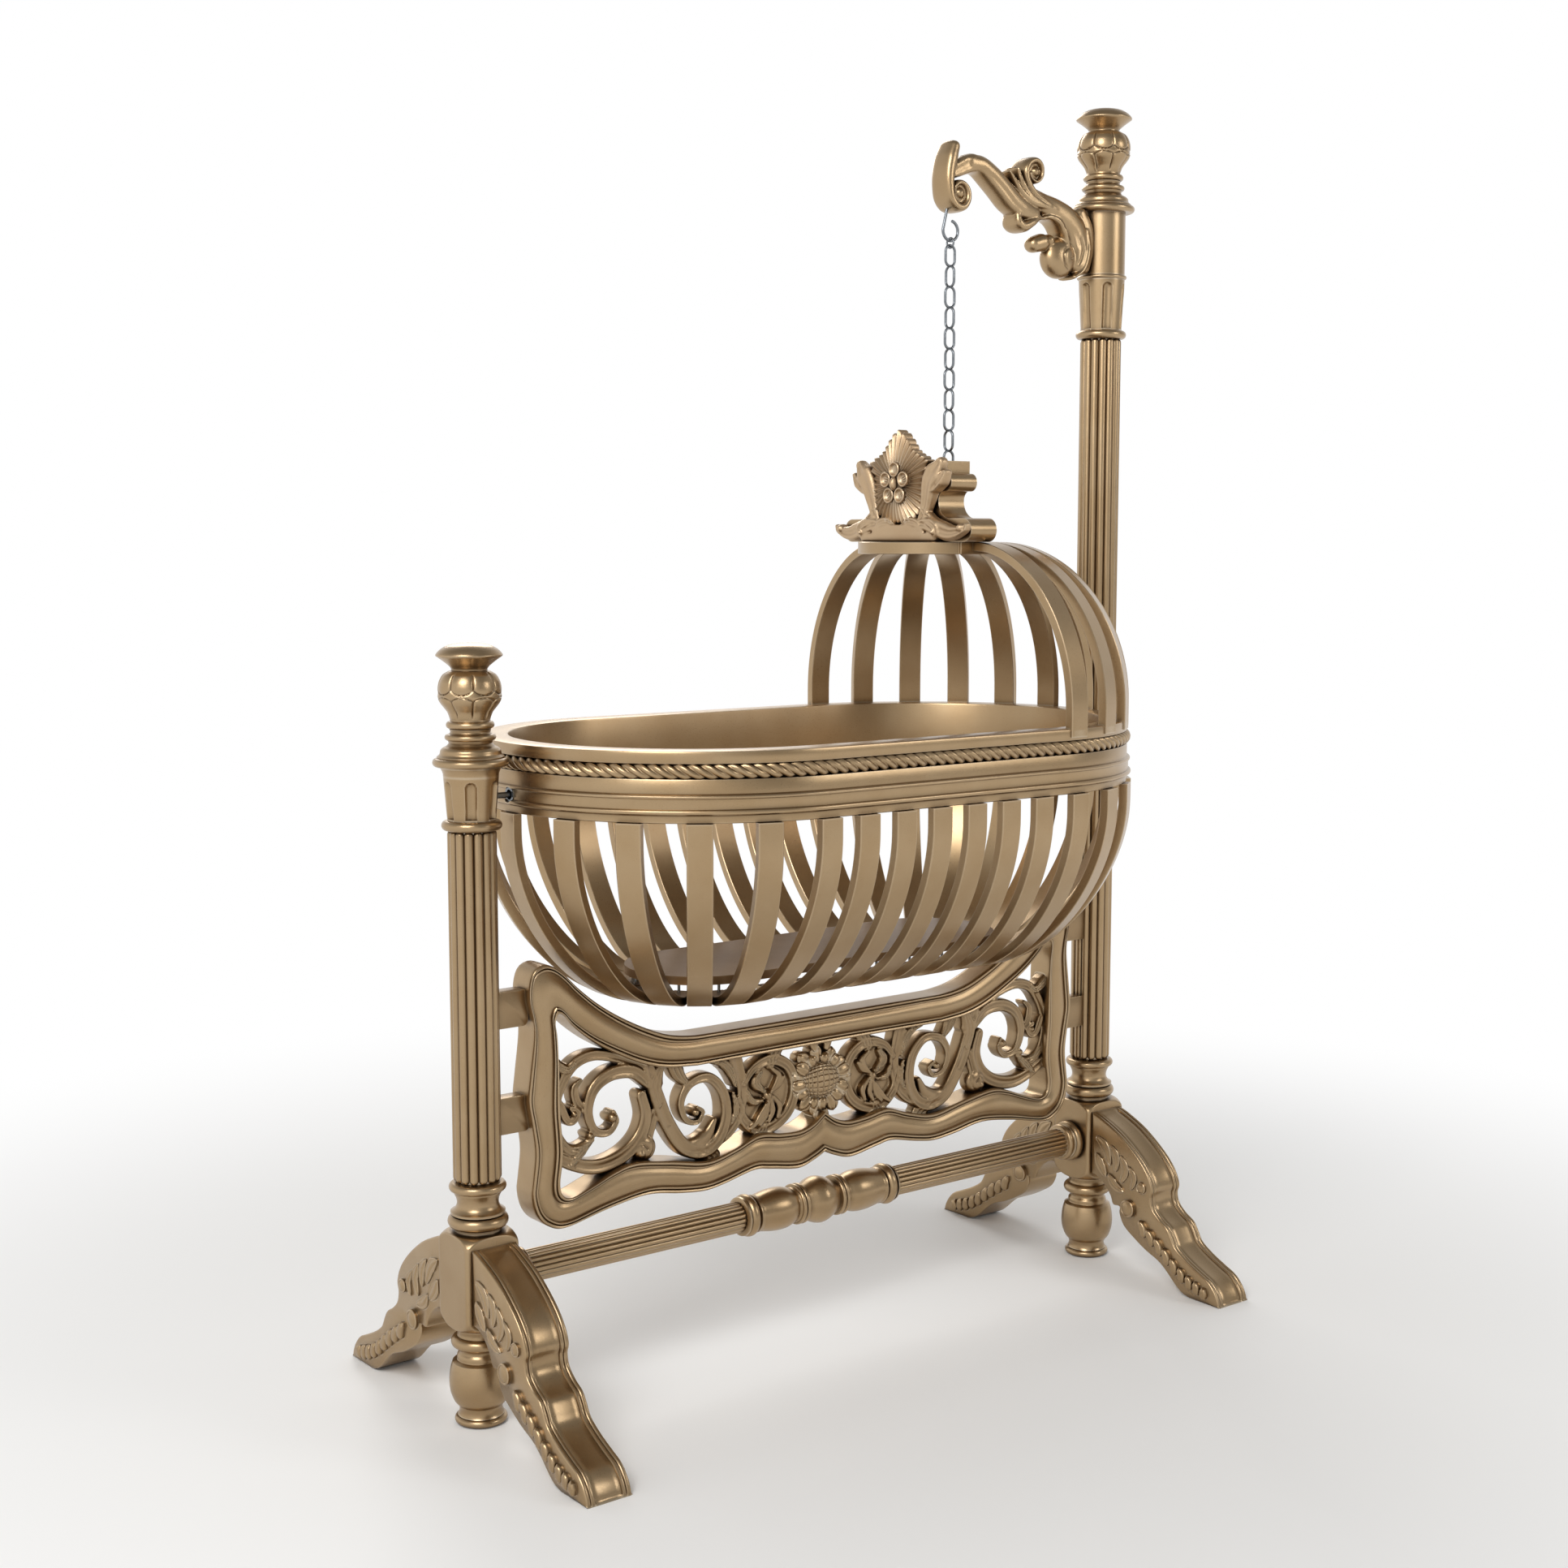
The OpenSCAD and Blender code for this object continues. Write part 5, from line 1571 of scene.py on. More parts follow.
    def build(self, bench: Workshop) -> None:
        """Builds and places the panel's pieces.

        Args:
            bench: The workshop.
        """
        bench.piece("panel_frame_moulded", self.moulded_frame().mesh("frame", 30), ["panel_frame"])
        right = self.scrollwork().skin(facing_front(PANEL_Z)).mesh("scrolls", 180)
        for side, word, scrolls in ((-1, "left", mirrored(right, (-1, 1, 1))), (1, "right", right)):
            bench.piece(f"{word}_scrollwork_carved", scrolls, [f"panel_scrollwork_{word}"], slot=Slot.CARVED)
            bench.piece(f"{word}_panel_tabs", self.brackets(side).mesh("tabs"), [f"{word}_brackets"],
                        slot=Slot.CARVED)
        bench.piece("panel_flower_carved", self.flower().mesh("flower", 45), ["panel_flower"])


@dataclass
class ScrollArm:
    """The carved arm on the tall post's sleeve, drawn across and up in the plane of the posts.

    Attributes:
        cell: Size of the cells that it is carved in.
    """

    cell: float = 1.5

    def carved(self) -> Block:
        """Carves the arm with its volutes, ridges, cuff and bud.

        Returns:
            Its block.
        """
        block = Block((220, 1564, -23), (548, 1764, 23), self.cell)
        block.carve([
            Scroll([(248, 1747), (242, 1731), (237, 1711), (236, 1691), (239, 1673), (250, 1661), (264, 1661),
                    (272, 1673), (270, 1688), (258, 1696), (247, 1690), (246, 1680)],
                   (19, 21, 20, 19, 17, 16, 14, 13, 12, 10, 8, 5),
                   (19, 21, 21, 21, 21, 21, 21, 20.5, 20, 18), square=2.8),
            Scroll([(256, 1680)], (38,), (14,), square=4), Scroll([(405, 1726)], (34,), (14,), square=4),
            Scroll([(256, 1680)], (19,), (20.5,), square=2.4, blend=0.5),
            Scroll([(242, 1708), (258, 1716), (272, 1723), (286, 1727)], (18, 24, 28, 28), (14, 16, 18, 18),
                   hollow=3.0, blend=3),
            Scroll([(284, 1727), (304, 1725), (326, 1712), (346, 1697), (366, 1681), (390, 1669), (412, 1664)],
                   (27, 30, 34, 35, 36, 34, 24), (18, 20, 20.5, 20.5, 20.5, 20, 18), square=2.5, blend=2),
            Scroll([(376, 1664), (377, 1649), (388, 1643), (404, 1650), (422, 1660)], (10, 17, 18, 15, 8),
                   (17, 20.5, 20.5, 20, 16), square=2.6, blend=1.2),
            Scroll([(407, 1690), (432, 1681), (460, 1673), (486, 1661), (502, 1644), (509, 1620), (508, 1598)],
                   (30, 34, 38, 42, 46, 44, 38), (17, 18.5, 19, 19.5, 19.5, 19.5, 19), square=2.5, blend=2),
            Scroll([(514, 1672), (526, 1650), (528, 1620), (522, 1592)], (22, 24, 24, 20), (15, 17, 17, 16), square=3),
            Scroll([(360, 1722), (371, 1705), (384, 1691), (404, 1680), (430, 1675), (454, 1672)],
                   (5, 12, 15, 13, 9, 3), (15, 19.5, 21, 21, 20.5, 18.5), square=2.4, blend=0.5),
            Scroll([(374, 1728), (381, 1708), (395, 1692), (416, 1682), (440, 1676)], (6, 12, 11, 7, 3),
                   (17, 20.5, 21.3, 21, 19), square=2.4, blend=1.2),
            Scroll([(452, 1674), (430, 1683), (409, 1693), (395, 1707), (389, 1724), (396, 1738), (410, 1743),
                    (421, 1735), (422, 1720), (412, 1711), (401, 1716), (400, 1724)],
                   (3, 8, 11, 13, 14, 13, 12, 11, 9, 8, 6, 4),
                   (19, 20.5, 21, 21, 21, 21, 21, 20, 19, 18), square=2.6, blend=0.6),
            Scroll([(409, 1726)], (17,), (20.5,), square=2.4, blend=0.5),
            Scroll([(422, 1657), (442, 1662), (460, 1656), (472, 1642), (480, 1624)], (5, 10, 13, 14, 10),
                   (15, 18, 20, 20.5, 19), square=2.4, blend=1),
            Scroll([(472, 1603)], (62,), (21,), square=2.2, blend=2),
            Scroll([(520, 1648), (523, 1618), (514, 1590), (494, 1575)], (10, 13, 12, 8), (18, 20.5, 21, 20),
                   square=2.4, blend=1),
            Scroll([(420, 1620), (434, 1624)], (25, 27), (14, 16), square=2.2, blend=0.8),
            Scroll([(448, 1628)], (19,), (15,), square=2.2, blend=0.4),
            Scroll([(446, 1624), (458, 1616)], (10, 14), (9, 14), blend=2),
        ])
        block.carve([
            Scroll([(300, 1719), (320, 1708), (342, 1692), (364, 1674), (384, 1664)], (3, 7, 8, 7, 3), (3.4,), level=21,
                   square=2, blend=1.5),
            Scroll([(504, 1634), (510, 1616), (502, 1596), (486, 1586), (472, 1592), (468, 1608), (478, 1618),
                    (490, 1614), (492, 1604), (484, 1602)], (3.2, 4, 4, 3.6, 3.4, 3.2, 3, 2.6), (3.6,), level=20,
                   square=2, blend=0.6),
            Scroll([(470, 1650), (492, 1640), (502, 1622)], (4, 14, 6), (4,), level=22, square=2, blend=2),
        ], away=True)
        return block

    def build(self, bench: Workshop) -> None:
        """Builds and places the sleeve and the arm.

        Args:
            bench: The workshop.
        """
        bench.piece("arm_sleeve_eased", bench.softened("arm_sleeve", 0.7), ["arm_sleeve"])
        bench.piece("scroll_arm_carved", self.carved().skin(facing_front(0), 5).mesh("arm", 180), ["scroll_arm"])


@dataclass
class Basket:
    """The swinging basket: rim band, rope moulding, slats and hood ribs.

    Attributes:
        slat_w: Width of a slat.
        slat_t: Thickness of a slat.
        foot_step: Angle from one slat to the next at the foot end.
        head_first: Angle of the first slat at the head end.
        head_slats: Slats and hood ribs at the head end.
        side_pitch: Distance from one side slat to the next.
        side_first: Distance of the first side slat from the middle.
        rope_r: Radius of the rope moulding.
        rope_in: How far inside the rim's face its line runs.
        rope_up: Its height above the rim's lower edge.
        strands: Its strands.
        groove: Depth of the grooves between them, as a share of the radius.
        twists: Whole turns of its twist.
    """

    slat_w: float = 34.0
    slat_t: float = 13.0
    foot_step: float = 17.3
    head_first: float = 4.5
    head_slats: int = 12
    side_pitch: float = 63.0
    side_first: float = 214.0
    rope_r: float = 10.7
    rope_in: float = 5.8
    rope_up: float = 66.0
    strands: int = 4
    groove: float = 0.3
    twists: int = 40

    def rim_path(self, steps: int) -> tuple[np.ndarray, np.ndarray]:
        """Centres and outward directions round the rim.

        Args:
            steps: Steps round each end.

        Returns:
            The centres and the directions.
        """
        a = np.linspace(-np.pi / 2, np.pi / 2, steps)
        head = np.column_stack([np.cos(a), np.sin(a)])
        ways = np.vstack([head, -head])
        centres = np.vstack([np.tile([HALF_STRAIGHT, 0], (steps, 1)), np.tile([-HALF_STRAIGHT, 0], (steps, 1))])
        return centres, ways

    def around(self, section: np.ndarray, steps: int = 72) -> np.ndarray:
        """Rings of a section of (radius, height) carried round the rim.

        Args:
            section: The section.
            steps: Steps round each end.

        Returns:
            The rings.
        """
        centres, ways = self.rim_path(steps)
        flat = centres[:, None, :] + ways[:, None, :] * section[None, :, :1]
        return np.concatenate([flat, np.repeat(section[None, :, 1:], len(centres), 0)], -1)

    def band(self, bench: Workshop) -> Mesh:
        """Builds the rim band with its two lips, a cove for the rope and the bore for the pivot.

        Args:
            bench: The workshop.

        Returns:
            Its mesh.
        """
        low, top, r = RIM_Z, RIM_TOP, RIM_R
        cove = np.radians(np.arange(-60, 61, 12))
        bed = np.stack([r - self.rope_in - 10.8 * np.cos(cove), low + self.rope_up + 11.0 * np.sin(cove)], -1)
        section = np.vstack([
            [[r - 38, low + 0.8], [r - 37.2, low], [r - 1.4, low], [r - 0.4, low + 1], [r - 0.2, low + 9.6]],
            [[r + 1, low + 10.4], [r + 2.6, low + 10.6]],
            curve([[r + 4, low + 11], [r + 5.6, low + 12.6], [r + 6, low + 14.6], [r + 5.4, low + 16.6],
                   [r + 3.8, low + 17.8]]),
            [[r + 2.2, low + 18.2], [r + 2, low + 19.4], [r + 2.2, low + 30.4], [r + 2.8, low + 31.4]],
            curve([[r + 3.8, low + 31.8], [r + 4.6, low + 33], [r + 4.6, low + 34.8], [r + 3.4, low + 36.2]]),
            [[r + 1, low + 36.8], [r, low + 37.8], [r, low + 55.2], [r - 0.6, low + 56.2]], bed,
            [[r - 0.6, low + 75.8], [r, low + 76.8], [r, top - 2.5], [r - 0.7, top - 0.8], [r - 2.4, top],
             [r - 35, top], [r - 37.2, top - 0.8], [r - 38, top - 3]]])
        bore = Shell().revolve(np.array([[10.3, -22.0], [10.3, 15.0]]), 40,
                               lambda p: along_x(PIVOT[2])(p) + [PIVOT[0], 0, 0])
        cutter = in_scene("bore", bore.mesh("bore"))
        whole = Shell().loft(self.around(section), True).mesh("band", 32)
        cut = bench.modified(whole, "BOOLEAN", {"operation": "DIFFERENCE", "solver": "EXACT", "object": cutter})
        bpy.data.objects.remove(cutter)
        return smoothed(cut, 32)

    def rope_line(self) -> np.ndarray:
        """Line of the rope moulding, evenly spread.

        Returns:
            Its points.
        """
        centres, ways = self.rim_path(200)
        flat = centres + ways * (RIM_R - self.rope_in)
        flat = even(np.vstack([flat, flat[:1]]), 1321)[:-1]
        return np.column_stack([flat, np.full(len(flat), RIM_Z + self.rope_up)])

    def strip(self, line: np.ndarray, step: float = 0.0, left: Optional[Callable] = None,
              round_end: Optional[float] = None) -> Shell:
        """Builds one bent strip, drawn outwards along X.

        Args:
            line: Its outer line, as radius and height, with the thickness to its left.
            step: Angle between strips, which limits the width near the middle; 0 for none.
            left: Gives the half width on the strip's left side from the radius.
            round_end: Radius of the plate that the strip's end is fitted to.

        Returns:
            Its shell.
        """
        normal = left_of(headings(line))
        half = np.full(len(line), self.slat_w / 2)
        if step:
            half = np.minimum(half, line[:, 0] * math.tan(math.radians(step / 2)) - 0.3)
        other = half if left is None else np.minimum(half, left(line[:, 0]))
        e, t = 0.9, self.slat_t
        corner = [(-1, e, 0), (-1, 0, e), (-1, 0, t - e), (-1, e, t), (1, e, t), (1, 0, t - e), (1, 0, e), (1, e, 0)]
        rings = []
        for s, ease, depth in corner:
            flat = line + normal * depth
            rings.append(np.column_stack([flat[:, 0], s * ((half if s > 0 else other) - ease), flat[:, 1]]))
        rings = np.stack(rings, 1)
        if round_end:
            rings[-1, :, 0] = np.sqrt(round_end ** 2 - rings[-1, :, 1] ** 2)
        return Shell().loft(rings)

    def lower_line(self) -> np.ndarray:
        """Outer line of a slat, from the rim down and in under the board.

        Returns:
            Its points.
        """
        r = RIM_R - 6
        bend = bezier([[r, RIM_Z - 25], [r, RIM_Z - 135], [r - 101, SLAT_LOW], [108, SLAT_LOW]], 40)
        return np.vstack([[[r, RIM_Z]], bend, [[96, SLAT_LOW], [78, SLAT_LOW]]])

    def upper_line(self) -> np.ndarray:
        """Outer line of a hood rib, from the rim up to the crown plate.

        Returns:
            Its points.
        """
        r = RIM_R + 2
        bend = bezier([[r, RIM_TOP + 23], [r, RIM_TOP + 153], [r - 91, HOOD_TOP - 0.2], [107, HOOD_TOP - 0.2]], 40)
        return np.vstack([[[r, RIM_TOP - 12], [r, RIM_TOP + 6]], bend, [[104.8, HOOD_TOP - 0.2]]])

    def slats(self, bench: Workshop) -> None:
        """Builds all the slats and the hood ribs.

        Args:
            bench: The workshop.
        """
        low, head_step = self.lower_line(), (180 - 2 * self.head_first) / (self.head_slats - 1)
        plain = self.strip(low).mesh("slat")
        slope = math.tan(math.radians(self.foot_step / 2))
        mitred = self.strip(low, left=lambda r: r * slope - 2.3).mesh("slat")
        for side, word in ((-1, "front"), (1, "back")):
            row = bench.repeat.run(plain, 6, offset=(self.side_pitch, 0, 0), first=(0, 0, side * 90))
            row.transform(shift((self.side_pitch - self.side_first, 0, 0)))
            first = mirrored(mitred, (1, -1, 1)) if side > 0 else mitred.copy()
            first.transform(turn_z(side * 90))
            first.transform(shift((-self.side_first, 0, 0)))
            bench.piece(f"{word}_slat_row", joined("slats", [row, first], 20), [f"{word}_slats"], Body.BASKET)
        foot = self.strip(low, self.foot_step).mesh("slat")
        foot_end = joined("slats", [
            bench.repeat.run(foot, count, first=(0, 0, start), turn=(0, 0, step)) for count, start, step in (
                (4, 270 - self.foot_step, -self.foot_step), (4, 90 + self.foot_step, self.foot_step), (1, 180, 0))], 20)
        foot_end.transform(shift((-HALF_STRAIGHT, 0, 0)))
        bench.piece("foot_end_slat_fan", foot_end, ["foot_end_slats"], Body.BASKET)
        for name, node, strip in (
                ("head_end_slat_fan", "head_end_slats", self.strip(low, head_step)),
                ("hood_rib_fan", "hood_ribs", self.strip(self.upper_line(), head_step, round_end=104.9))):
            fan = bench.repeat.run(strip.mesh("strip"), self.head_slats, first=(0, 0, -90 + self.head_first),
                                   turn=(0, 0, head_step))
            fan.transform(shift((HALF_STRAIGHT, 0, 0)))
            bench.piece(name, joined("slats", [fan], 20), [node], Body.BASKET)

    def build(self, bench: Workshop) -> None:
        """Builds and places the basket's pieces.

        Args:
            bench: The workshop.
        """
        bench.piece("rim_band_moulded", self.band(bench), ["rim_band"], Body.BASKET)
        rope = bench.rope.run(self.rope_line(), self.rope_r, self.strands, self.groove, self.twists)
        bench.piece("rope_moulding_twisted", rope, ["rope_moulding"], Body.BASKET)
        self.slats(bench)
        # The board takes a darker copy of the paint as painted shade inside the basket.
        bench.piece("base_board_eased", bench.softened("base_board", 1.5), ["base_board"], Body.BASKET, Slot.CARVED,
                    bench.board_shade)


@dataclass
class Crown:
    """The crown on the hood: plate, moulded pedestal and the carved sunburst with its leaves.

    Attributes:
        front_x: Place of the carving's face along the cradle.
        thick: Thickness of the carving's board.
        sun_z: Height of the sunburst's middle above the plate.
        rays: Number of rays.
        petals: Number of petals in front of them.
    """

    front_x: float = 168.0
    thick: float = 20.0
    sun_z: float = 85.0
    rays: int = 40
    petals: int = 5

    def place(self, p: np.ndarray) -> np.ndarray:
        """Puts points drawn as (across, above the plate, depth) in place, facing the foot end."""
        return np.stack([self.front_x - self.thick / 2 + p[..., 2], p[..., 0], p[..., 1] + HOOD_TOP], -1)

    def sunburst(self, shell: Shell) -> None:
        """Adds the sunburst, a stepped shield under thin ridged rays.

        Args:
            shell: The ornament's shell.
        """
        steps_each = 8
        a = circle(self.rays * steps_each)
        rise = np.degrees(np.arctan2(np.sin(a), np.abs(np.cos(a))))
        tips = np.interp(rise, (-90, -55, -36, -26, 10, 26, 44, 58, 73, 84, 90),
                         (57, 63, 64, 58, 56, 73, 61, 59, 68, 76, 79))
        ray = np.mod(a - np.pi / 2 + np.pi / self.rays, 2 * np.pi / self.rays) * self.rays / np.pi - 1
        ring = tips * (0.93 + 0.07 * np.sqrt(np.clip(1 - ray ** 2, 0, 1)))
        share = np.array([0.1, 0.3, 0.45, 0.6, 0.72, 0.84, 0.92, 0.98, 1.0])
        height = np.array([11.5, 11.2, 10.6, 9.9, 9.0, 8.0, 7.0, 6.0, 4.4])
        x = share[:, None] * ring[None, :] * np.cos(a)
        z = share[:, None] * ring[None, :] * np.sin(a) + self.sun_z
        ridge = np.exp(-(ray / 0.42) ** 2) * 2.8 - 1.2
        crest = height[:, None] + ridge[None, :] * np.clip(share[:, None] * 2.4, 0, 1)
        front = np.stack([x, z, -crest], -1)
        back = np.stack([x, z, np.full_like(x, 9.8)], -1)[::-1]
        shell.loft(np.concatenate([front, back]), place=self.place)

    def flower(self, shell: Shell) -> None:
        """Adds the five round petals and the bud in front of the sunburst.

        Args:
            shell: The ornament's shell.
        """
        for k in range(self.petals):
            a = math.radians(360 / self.petals * k + 90)
            cx, cz = 21 * math.cos(a), self.sun_z + 21 * math.sin(a)
            r = np.array([0.3, 3.8, 6.4, 8.0, 9.2, 10.6, 11.4, 11.4, 10.6])
            h = np.array([-10.6, -11.0, -12.2, -14.2, -15.6, -15.8, -15.0, -13.0, -6.0])
            shell.revolve(np.stack([r, h], -1), 24, lambda p, cx=cx, cz=cz: self.place(p + np.array([cx, cz, 0])))
        r = np.array([0.3, 3.2, 5.6, 7.0, 7.6, 7.0])
        h = np.array([-21.5, -20.8, -18.4, -15.5, -13.0, -7.0])
        shell.revolve(np.stack([r, h], -1), 20,
                      lambda p: self.place(p * [0.85, 1.45, 1] + np.array([0, self.sun_z, 0])))

    def leaves(self) -> Block:
        """Carves the gable, the flaring leaves at both sides and those at its foot.

        Returns:
            Its block.
        """
        block = Block((-152, -2, -17), (152, 122, 12), 1.4)
        deep = {"ridge": 1.2, "ridges": 1, "hollow": 2.8, "square": 2.6, "blend": 0.9}
        block.carve([Scroll([(-79, 7), (79, 7)], (13,), (8.5,), square=9),
                     Scroll([(-48, 15), (48, 15)], (21,), (8.5,), square=9)])
        for s in (-1, 1):
            block.carve([Scroll([(s * x, z) for x, z in line], widths, depths, **deep) for line, widths, depths in (
                ([(46, 26), (56, 44), (62, 62), (67, 80), (74, 94), (84, 106), (90, 114)], (10, 18, 22, 28, 34, 34, 16),
                 (9, 9, 10, 12, 14, 14, 10)),
                ([(64, 76), (78, 78), (92, 88), (102, 100)], (10, 16, 18, 8), (10, 12, 13, 10)),
                ([(52, 50), (66, 36), (84, 30)], (8, 14, 6), (9, 9.5, 7)),
                ([(34, 24), (58, 26), (84, 20), (112, 13), (140, 17), (146, 24)], (8, 20, 26, 26, 18, 6),
                 (9, 11, 12, 11, 10, 8)),
                ([(60, 30), (76, 27), (88, 18), (84, 10)], (8, 16, 16, 8), (10, 13, 14, 12)),
                ([(8, 24), (24, 30), (42, 27), (50, 18)], (6, 14, 16, 6), (9, 11, 12, 10)))])
            block.carve([Scroll([(s * x, z)], (2 * r,), (h,), square=2.2, blend=0.5)
                         for x, z, r, h in ((136, 20, 7, 11), (82, 14, 5, 14.5))])
        return block

    def build(self, bench: Workshop) -> None:
        """Builds and places the crown's pieces.

        Args:
            bench: The workshop.
        """
        for part, ease in (("plate", 1.2), ("pedestal", 1.6)):
            bench.piece(f"crown_{part}_eased", bench.softened(f"crown_{part}", ease), [f"crown_{part}"], Body.BASKET)
        shell = Shell()
        self.sunburst(shell)
        self.flower(shell)
        carved = joined("ornament", [shell.mesh("sun", 40), self.leaves().skin(self.place).mesh("leaves", 180)])
        bench.piece("crown_ornament_carved", carved, ["crown_ornament"], Body.BASKET, finish=bench.pale)


@dataclass
class Chain:
    """The steel chain between the crown's eye and the hook.

    Attributes:
        x: Place of its line along the cradle.
        count: Number of links.
        wire: Radius of the wire.
        width: Width of a link.
        play: Play between two links.
    """

    x: float = 251.0
    count: int = 14
    wire: float = 2.0
    width: float = 22.0
    play: float = 0.15

    def link(self, pitch: float) -> Shell:
        """Builds one oval link, centred and upright in the plane of the posts.

        Args:
            pitch: Distance from one link to the next.

        Returns:
            Its shell.
        """
        bow = self.width / 2 - self.wire
        half = (pitch + self.play) / 2 - bow
        a = np.linspace(0, np.pi, 17)
        arc = np.stack([bow * np.cos(a), half + bow * np.sin(a)], -1)
        line = np.vstack([arc, -arc])
        ahead = np.roll(line, -1, 0) - np.roll(line, 1, 0)
        out = -left_of(ahead / np.linalg.norm(ahead, axis=1, keepdims=True))
        turn = circle(14)
        flat = line[:, None, :] + out[:, None, :] * (self.wire * np.cos(turn))[None, :, None]
        depth = np.repeat((self.wire * np.sin(turn))[None, :], len(line), 0)
        return Shell().loft(np.stack([flat[..., 0], depth, flat[..., 1]], -1), True)

    def build(self, bench: Workshop) -> None:
        """Builds the links to the length that the frame gives and places them.

        Args:
            bench: The workshop.
        """
        low, high = (v.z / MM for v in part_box("chain_links"))
        pitch = (high - low - self.play - 2 * self.wire) / self.count
        links = bench.repeat.run(self.link(pitch).mesh("link", 80), self.count, offset=(0, 0, -pitch), turn=(0, 0, 90))
        links.transform(shift((self.x, 0, high - (pitch + self.play) / 2 - self.wire)))
        LOG.info("chain from %.1f to %.1f mm", low, high)
        bench.piece("chain_link_row", links, ["chain_links"], Body.BASKET, Slot.STEEL)


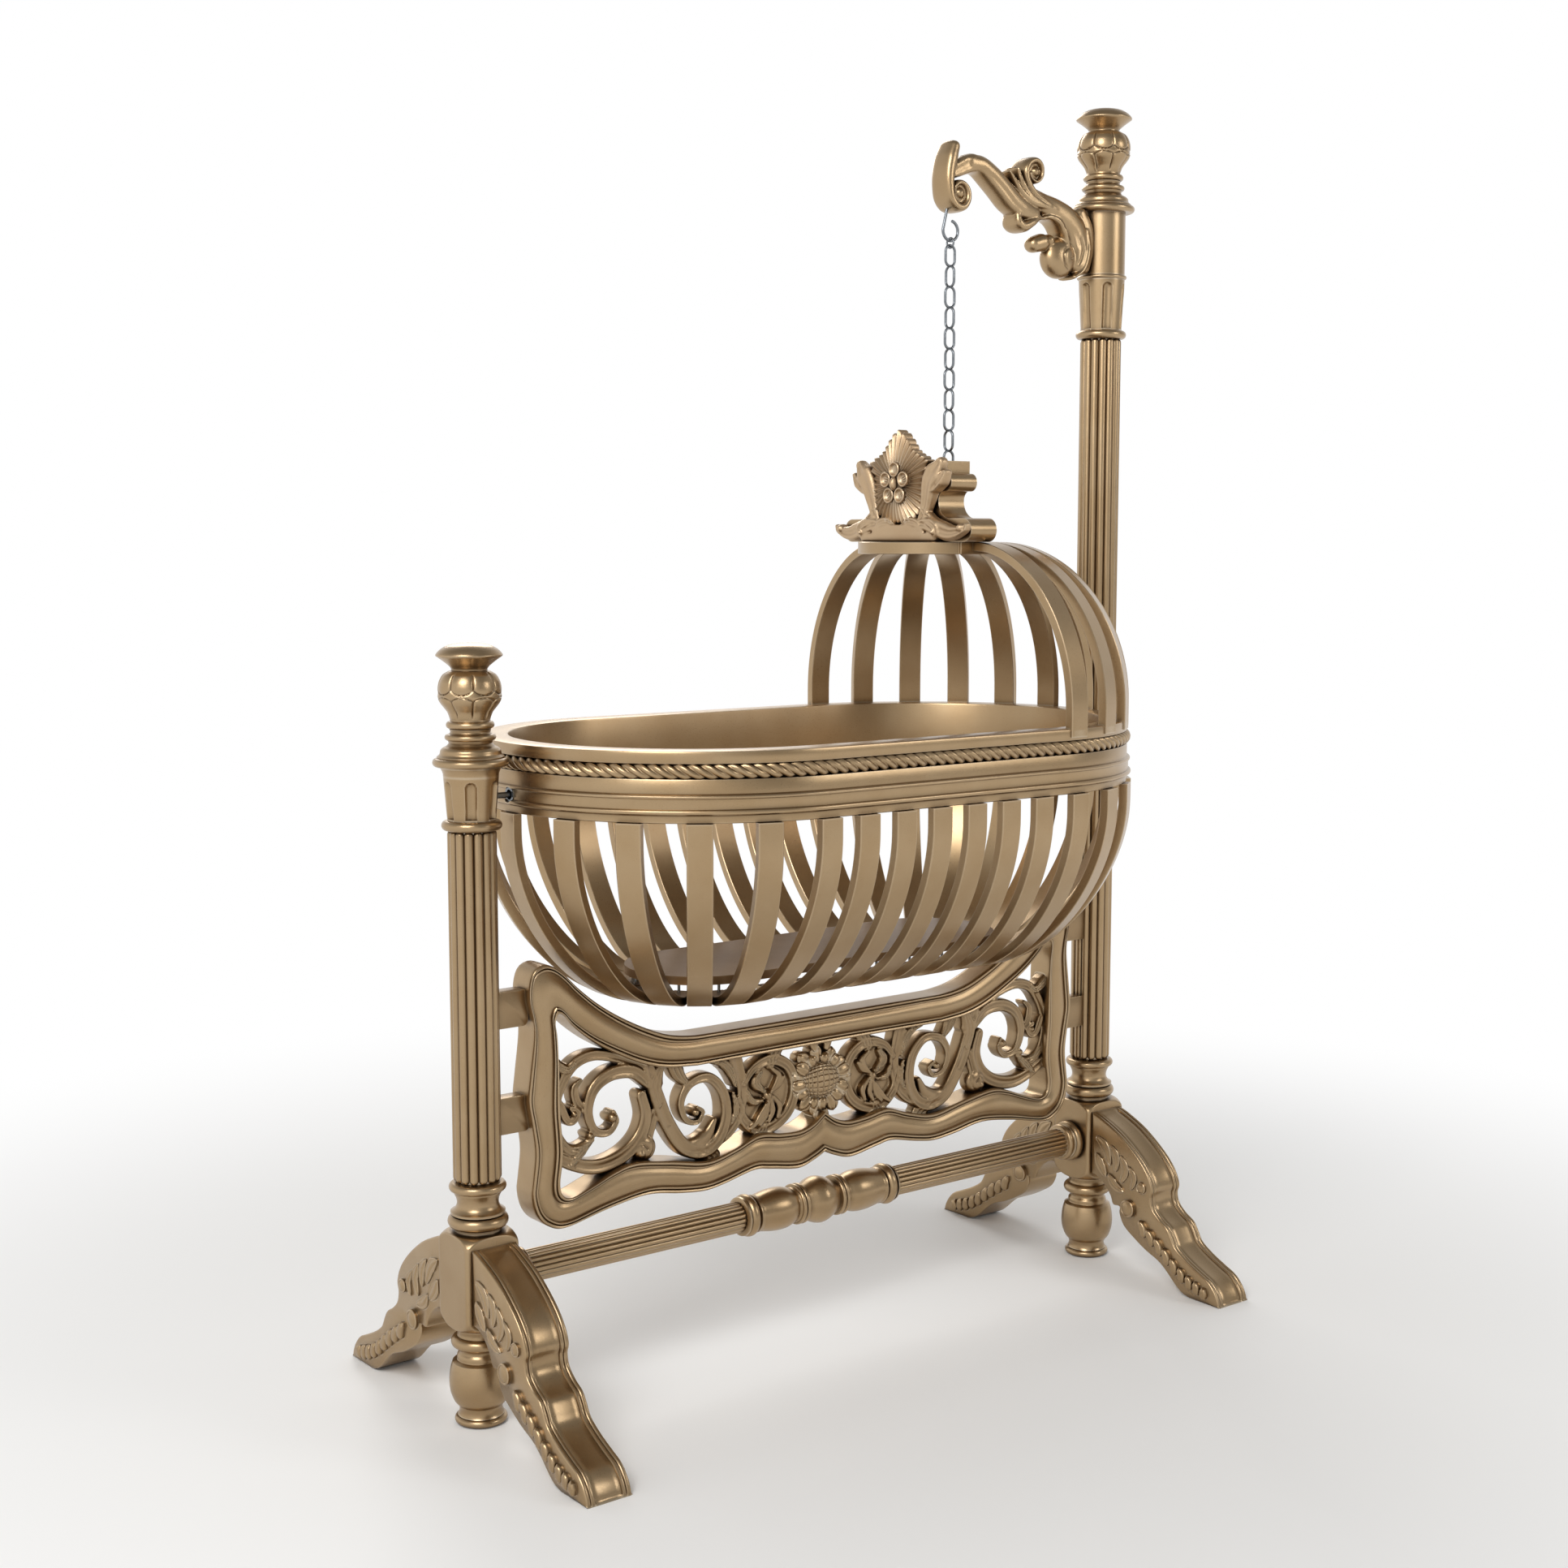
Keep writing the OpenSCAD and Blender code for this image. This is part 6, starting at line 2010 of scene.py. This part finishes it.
@dataclass
class Studio:
    """The camera at the photograph's angle, a plain pale floor and soft studio light.

    Attributes:
        camera_at: The camera's place in metres.
        heading: Its direction from +Y towards +X in degrees.
        pitch: How far it looks down in degrees.
        lens: Its lens in millimetres on a 36 mm sensor.
        dark_side: Direction in which the studio is darker, which models the turned posts.
        fade: Distances from the middle, in metres, between which the floor turns to white.
    """

    camera_at: tuple[float, float, float] = (-1.9519, -2.4721, 1.1717)
    heading: float = 37.43
    pitch: float = 6.41
    lens: float = 50.0
    dark_side: tuple[float, float, float] = (0.535, -0.842, 0.0)
    fade: tuple[float, float] = (0.8, 2.3)

    def camera(self) -> None:
        """Sets the camera."""
        data = bpy.data.cameras.new("camera")
        data.lens, data.sensor_width, data.clip_end = self.lens, 36.0, 200.0
        obj = in_scene("camera", data)
        h, p = math.radians(self.heading), math.radians(self.pitch)
        look = Vector((math.sin(h) * math.cos(p), math.cos(h) * math.cos(p), -math.sin(p)))
        obj.location = self.camera_at
        obj.rotation_euler = look.to_track_quat("-Z", "Y").to_euler()
        bpy.context.scene.camera = obj

    def world(self) -> None:
        """Sets a white studio that is darker overhead and beyond the cradle's front right."""
        world = bpy.data.worlds.new("studio")
        world.use_nodes = True
        tree = world.node_tree
        tree.nodes.clear()
        look = add_node(tree, "ShaderNodeTexCoord").outputs["Generated"]
        way = add_node(tree, "ShaderNodeSeparateXYZ", links={0: look})
        above = ranged(tree, way.outputs["Z"], (0.3, 0.85), (1.0, 0.3))
        aside = add_node(tree, "ShaderNodeVectorMath", {"operation": "DOT_PRODUCT", 1: self.dark_side}, {0: look})
        beside = ranged(tree, aside.outputs["Value"], (0.4, 0.85), (1.0, 0.4))
        shade = add_node(tree, "ShaderNodeBackground", {"Color": (1, 1, 1, 1)},
                         {"Strength": calculated(tree, "MULTIPLY", above, beside)})
        add_node(tree, "ShaderNodeOutputWorld", links={"Surface": shade.outputs[0]})
        bpy.context.scene.world = world

    def floor(self) -> None:
        """Lays the plain pale floor, which turns to white away from the cradle."""
        mesh = bpy.data.meshes.new("floor")
        s = 40.0
        mesh.from_pydata([(-s, -s, 0), (s, -s, 0), (s, s, 0), (-s, s, 0)], [], [(0, 1, 2, 3)])
        material, tree, place = new_material("pale_floor")
        far = add_node(tree, "ShaderNodeVectorMath", {"operation": "LENGTH"}, {0: place})
        share = ranged(tree, far.outputs["Value"], self.fade, interpolation_type="SMOOTHSTEP")
        matt = add_node(tree, "ShaderNodeBsdfPrincipled", {"Base Color": linear("#F4F3F1"), "Roughness": 0.7})
        white = add_node(tree, "ShaderNodeEmission", {"Color": (1, 1, 1, 1), "Strength": 1.0})
        both = add_node(tree, "ShaderNodeMixShader", links={0: share, 1: matt.outputs[0], 2: white.outputs[0]})
        add_node(tree, "ShaderNodeOutputMaterial", links={"Surface": both.outputs[0]})
        mesh.materials.append(material)
        in_scene("floor", mesh)

    def lamp(self, name: str, at: Sequence[float], size: float, power: float) -> None:
        """Hangs a soft square lamp that faces the cradle.

        Args:
            name: Its name.
            at: Its place in metres.
            size: Its side in metres.
            power: Its power in watts.
        """
        data = bpy.data.lights.new(name, "AREA")
        data.size, data.energy = size, power
        obj = in_scene(name, data)
        obj.location = at
        obj.rotation_euler = (Vector((0, 0, 0.8)) - Vector(at)).to_track_quat("-Z", "Y").to_euler()
        obj.visible_camera = False

    def build(self) -> None:
        """Sets up the whole studio."""
        self.camera()
        self.world()
        self.floor()
        self.lamp("key_lamp", (-3.0, -1.8, 3.4), 2.0, 95)
        self.lamp("fill_lamp", (2.6, -3.6, 2.6), 1.6, 30)
        self.lamp("rear_lamp", (1.5, 3.6, 3.4), 2.0, 50)


KEPT = {
    Slot.WOOD: ("finial_dowels", "stretcher_dowels"),
    Slot.STEEL: ("leg_bolts", "post_studs", "bracket_screws", "arm_bolts", "chain_hook", "pivot_stud", "base_screws",
                 "hood_screws", "chain_eye", "chain_ring", "pivot_socket"),
}


def main() -> None:
    """Builds the studio and every sub-assembly in order."""
    logging.basicConfig(level=logging.INFO, format="%(name)s: %(message)s")
    bpy.context.scene.view_settings.view_transform = "Standard"
    Studio().build()
    # The third colour of each gold paint is its painted recess shade and the fourth its painted edge highlight.
    bench = Workshop({
        Slot.GOLD: GoldPaint("champagne_gold_paint", "#B19978", "#A0845F", "#3A2818", "#DED0B8").make(),
        Slot.CARVED: GoldPaint("antique_gold_paint", "#A38C6D", "#8F7554", "#331F12", "#D6C5A6").make(),
        Slot.WOOD: BareBeech("bare_beech", "#C79F6C", "#A87C4A").make(),
        Slot.STEEL: PlatedSteel("zinc_plated_steel", "#8F9397", "#6C7074").make(),
    # Darker copy of the paint, painted shade for the board inside the basket.
    }, board_shade=GoldPaint("board_painted_shade_gold", "#8E7353", "#765A3D", "#2E1B0F", "#A98F6C", (0.42, 0.52)).make(),
        pale=GoldPaint("pale_gold_paint", "#C6AE8E", "#B59672", "#4A3422", "#E0D2BA", (0.4, 0.5)).make(),
        repeat=RepeatTree(), rope=RopeTree())
    assemblies = [TurnedPost("short_post", -POST_X, 797, 58, 880, False),
                  TurnedPost("tall_post", POST_X, 1485, 79, 1679, True)]
    for word, x in (("short", -POST_X), ("tall", POST_X)):
        assemblies += [ScrollLeg(f"{word}_front_leg", x, -1), ScrollLeg(f"{word}_back_leg", x, 1)]
    assemblies += [Stretcher(), CarvedPanel(), ScrollArm(), Basket(), Crown(), Chain()]
    for assembly in assemblies:
        assembly.build(bench)
    for slot, nodes in KEPT.items():
        for node in nodes:
            bench.dressed(node, slot)


if __name__ == "__main__":
    main()
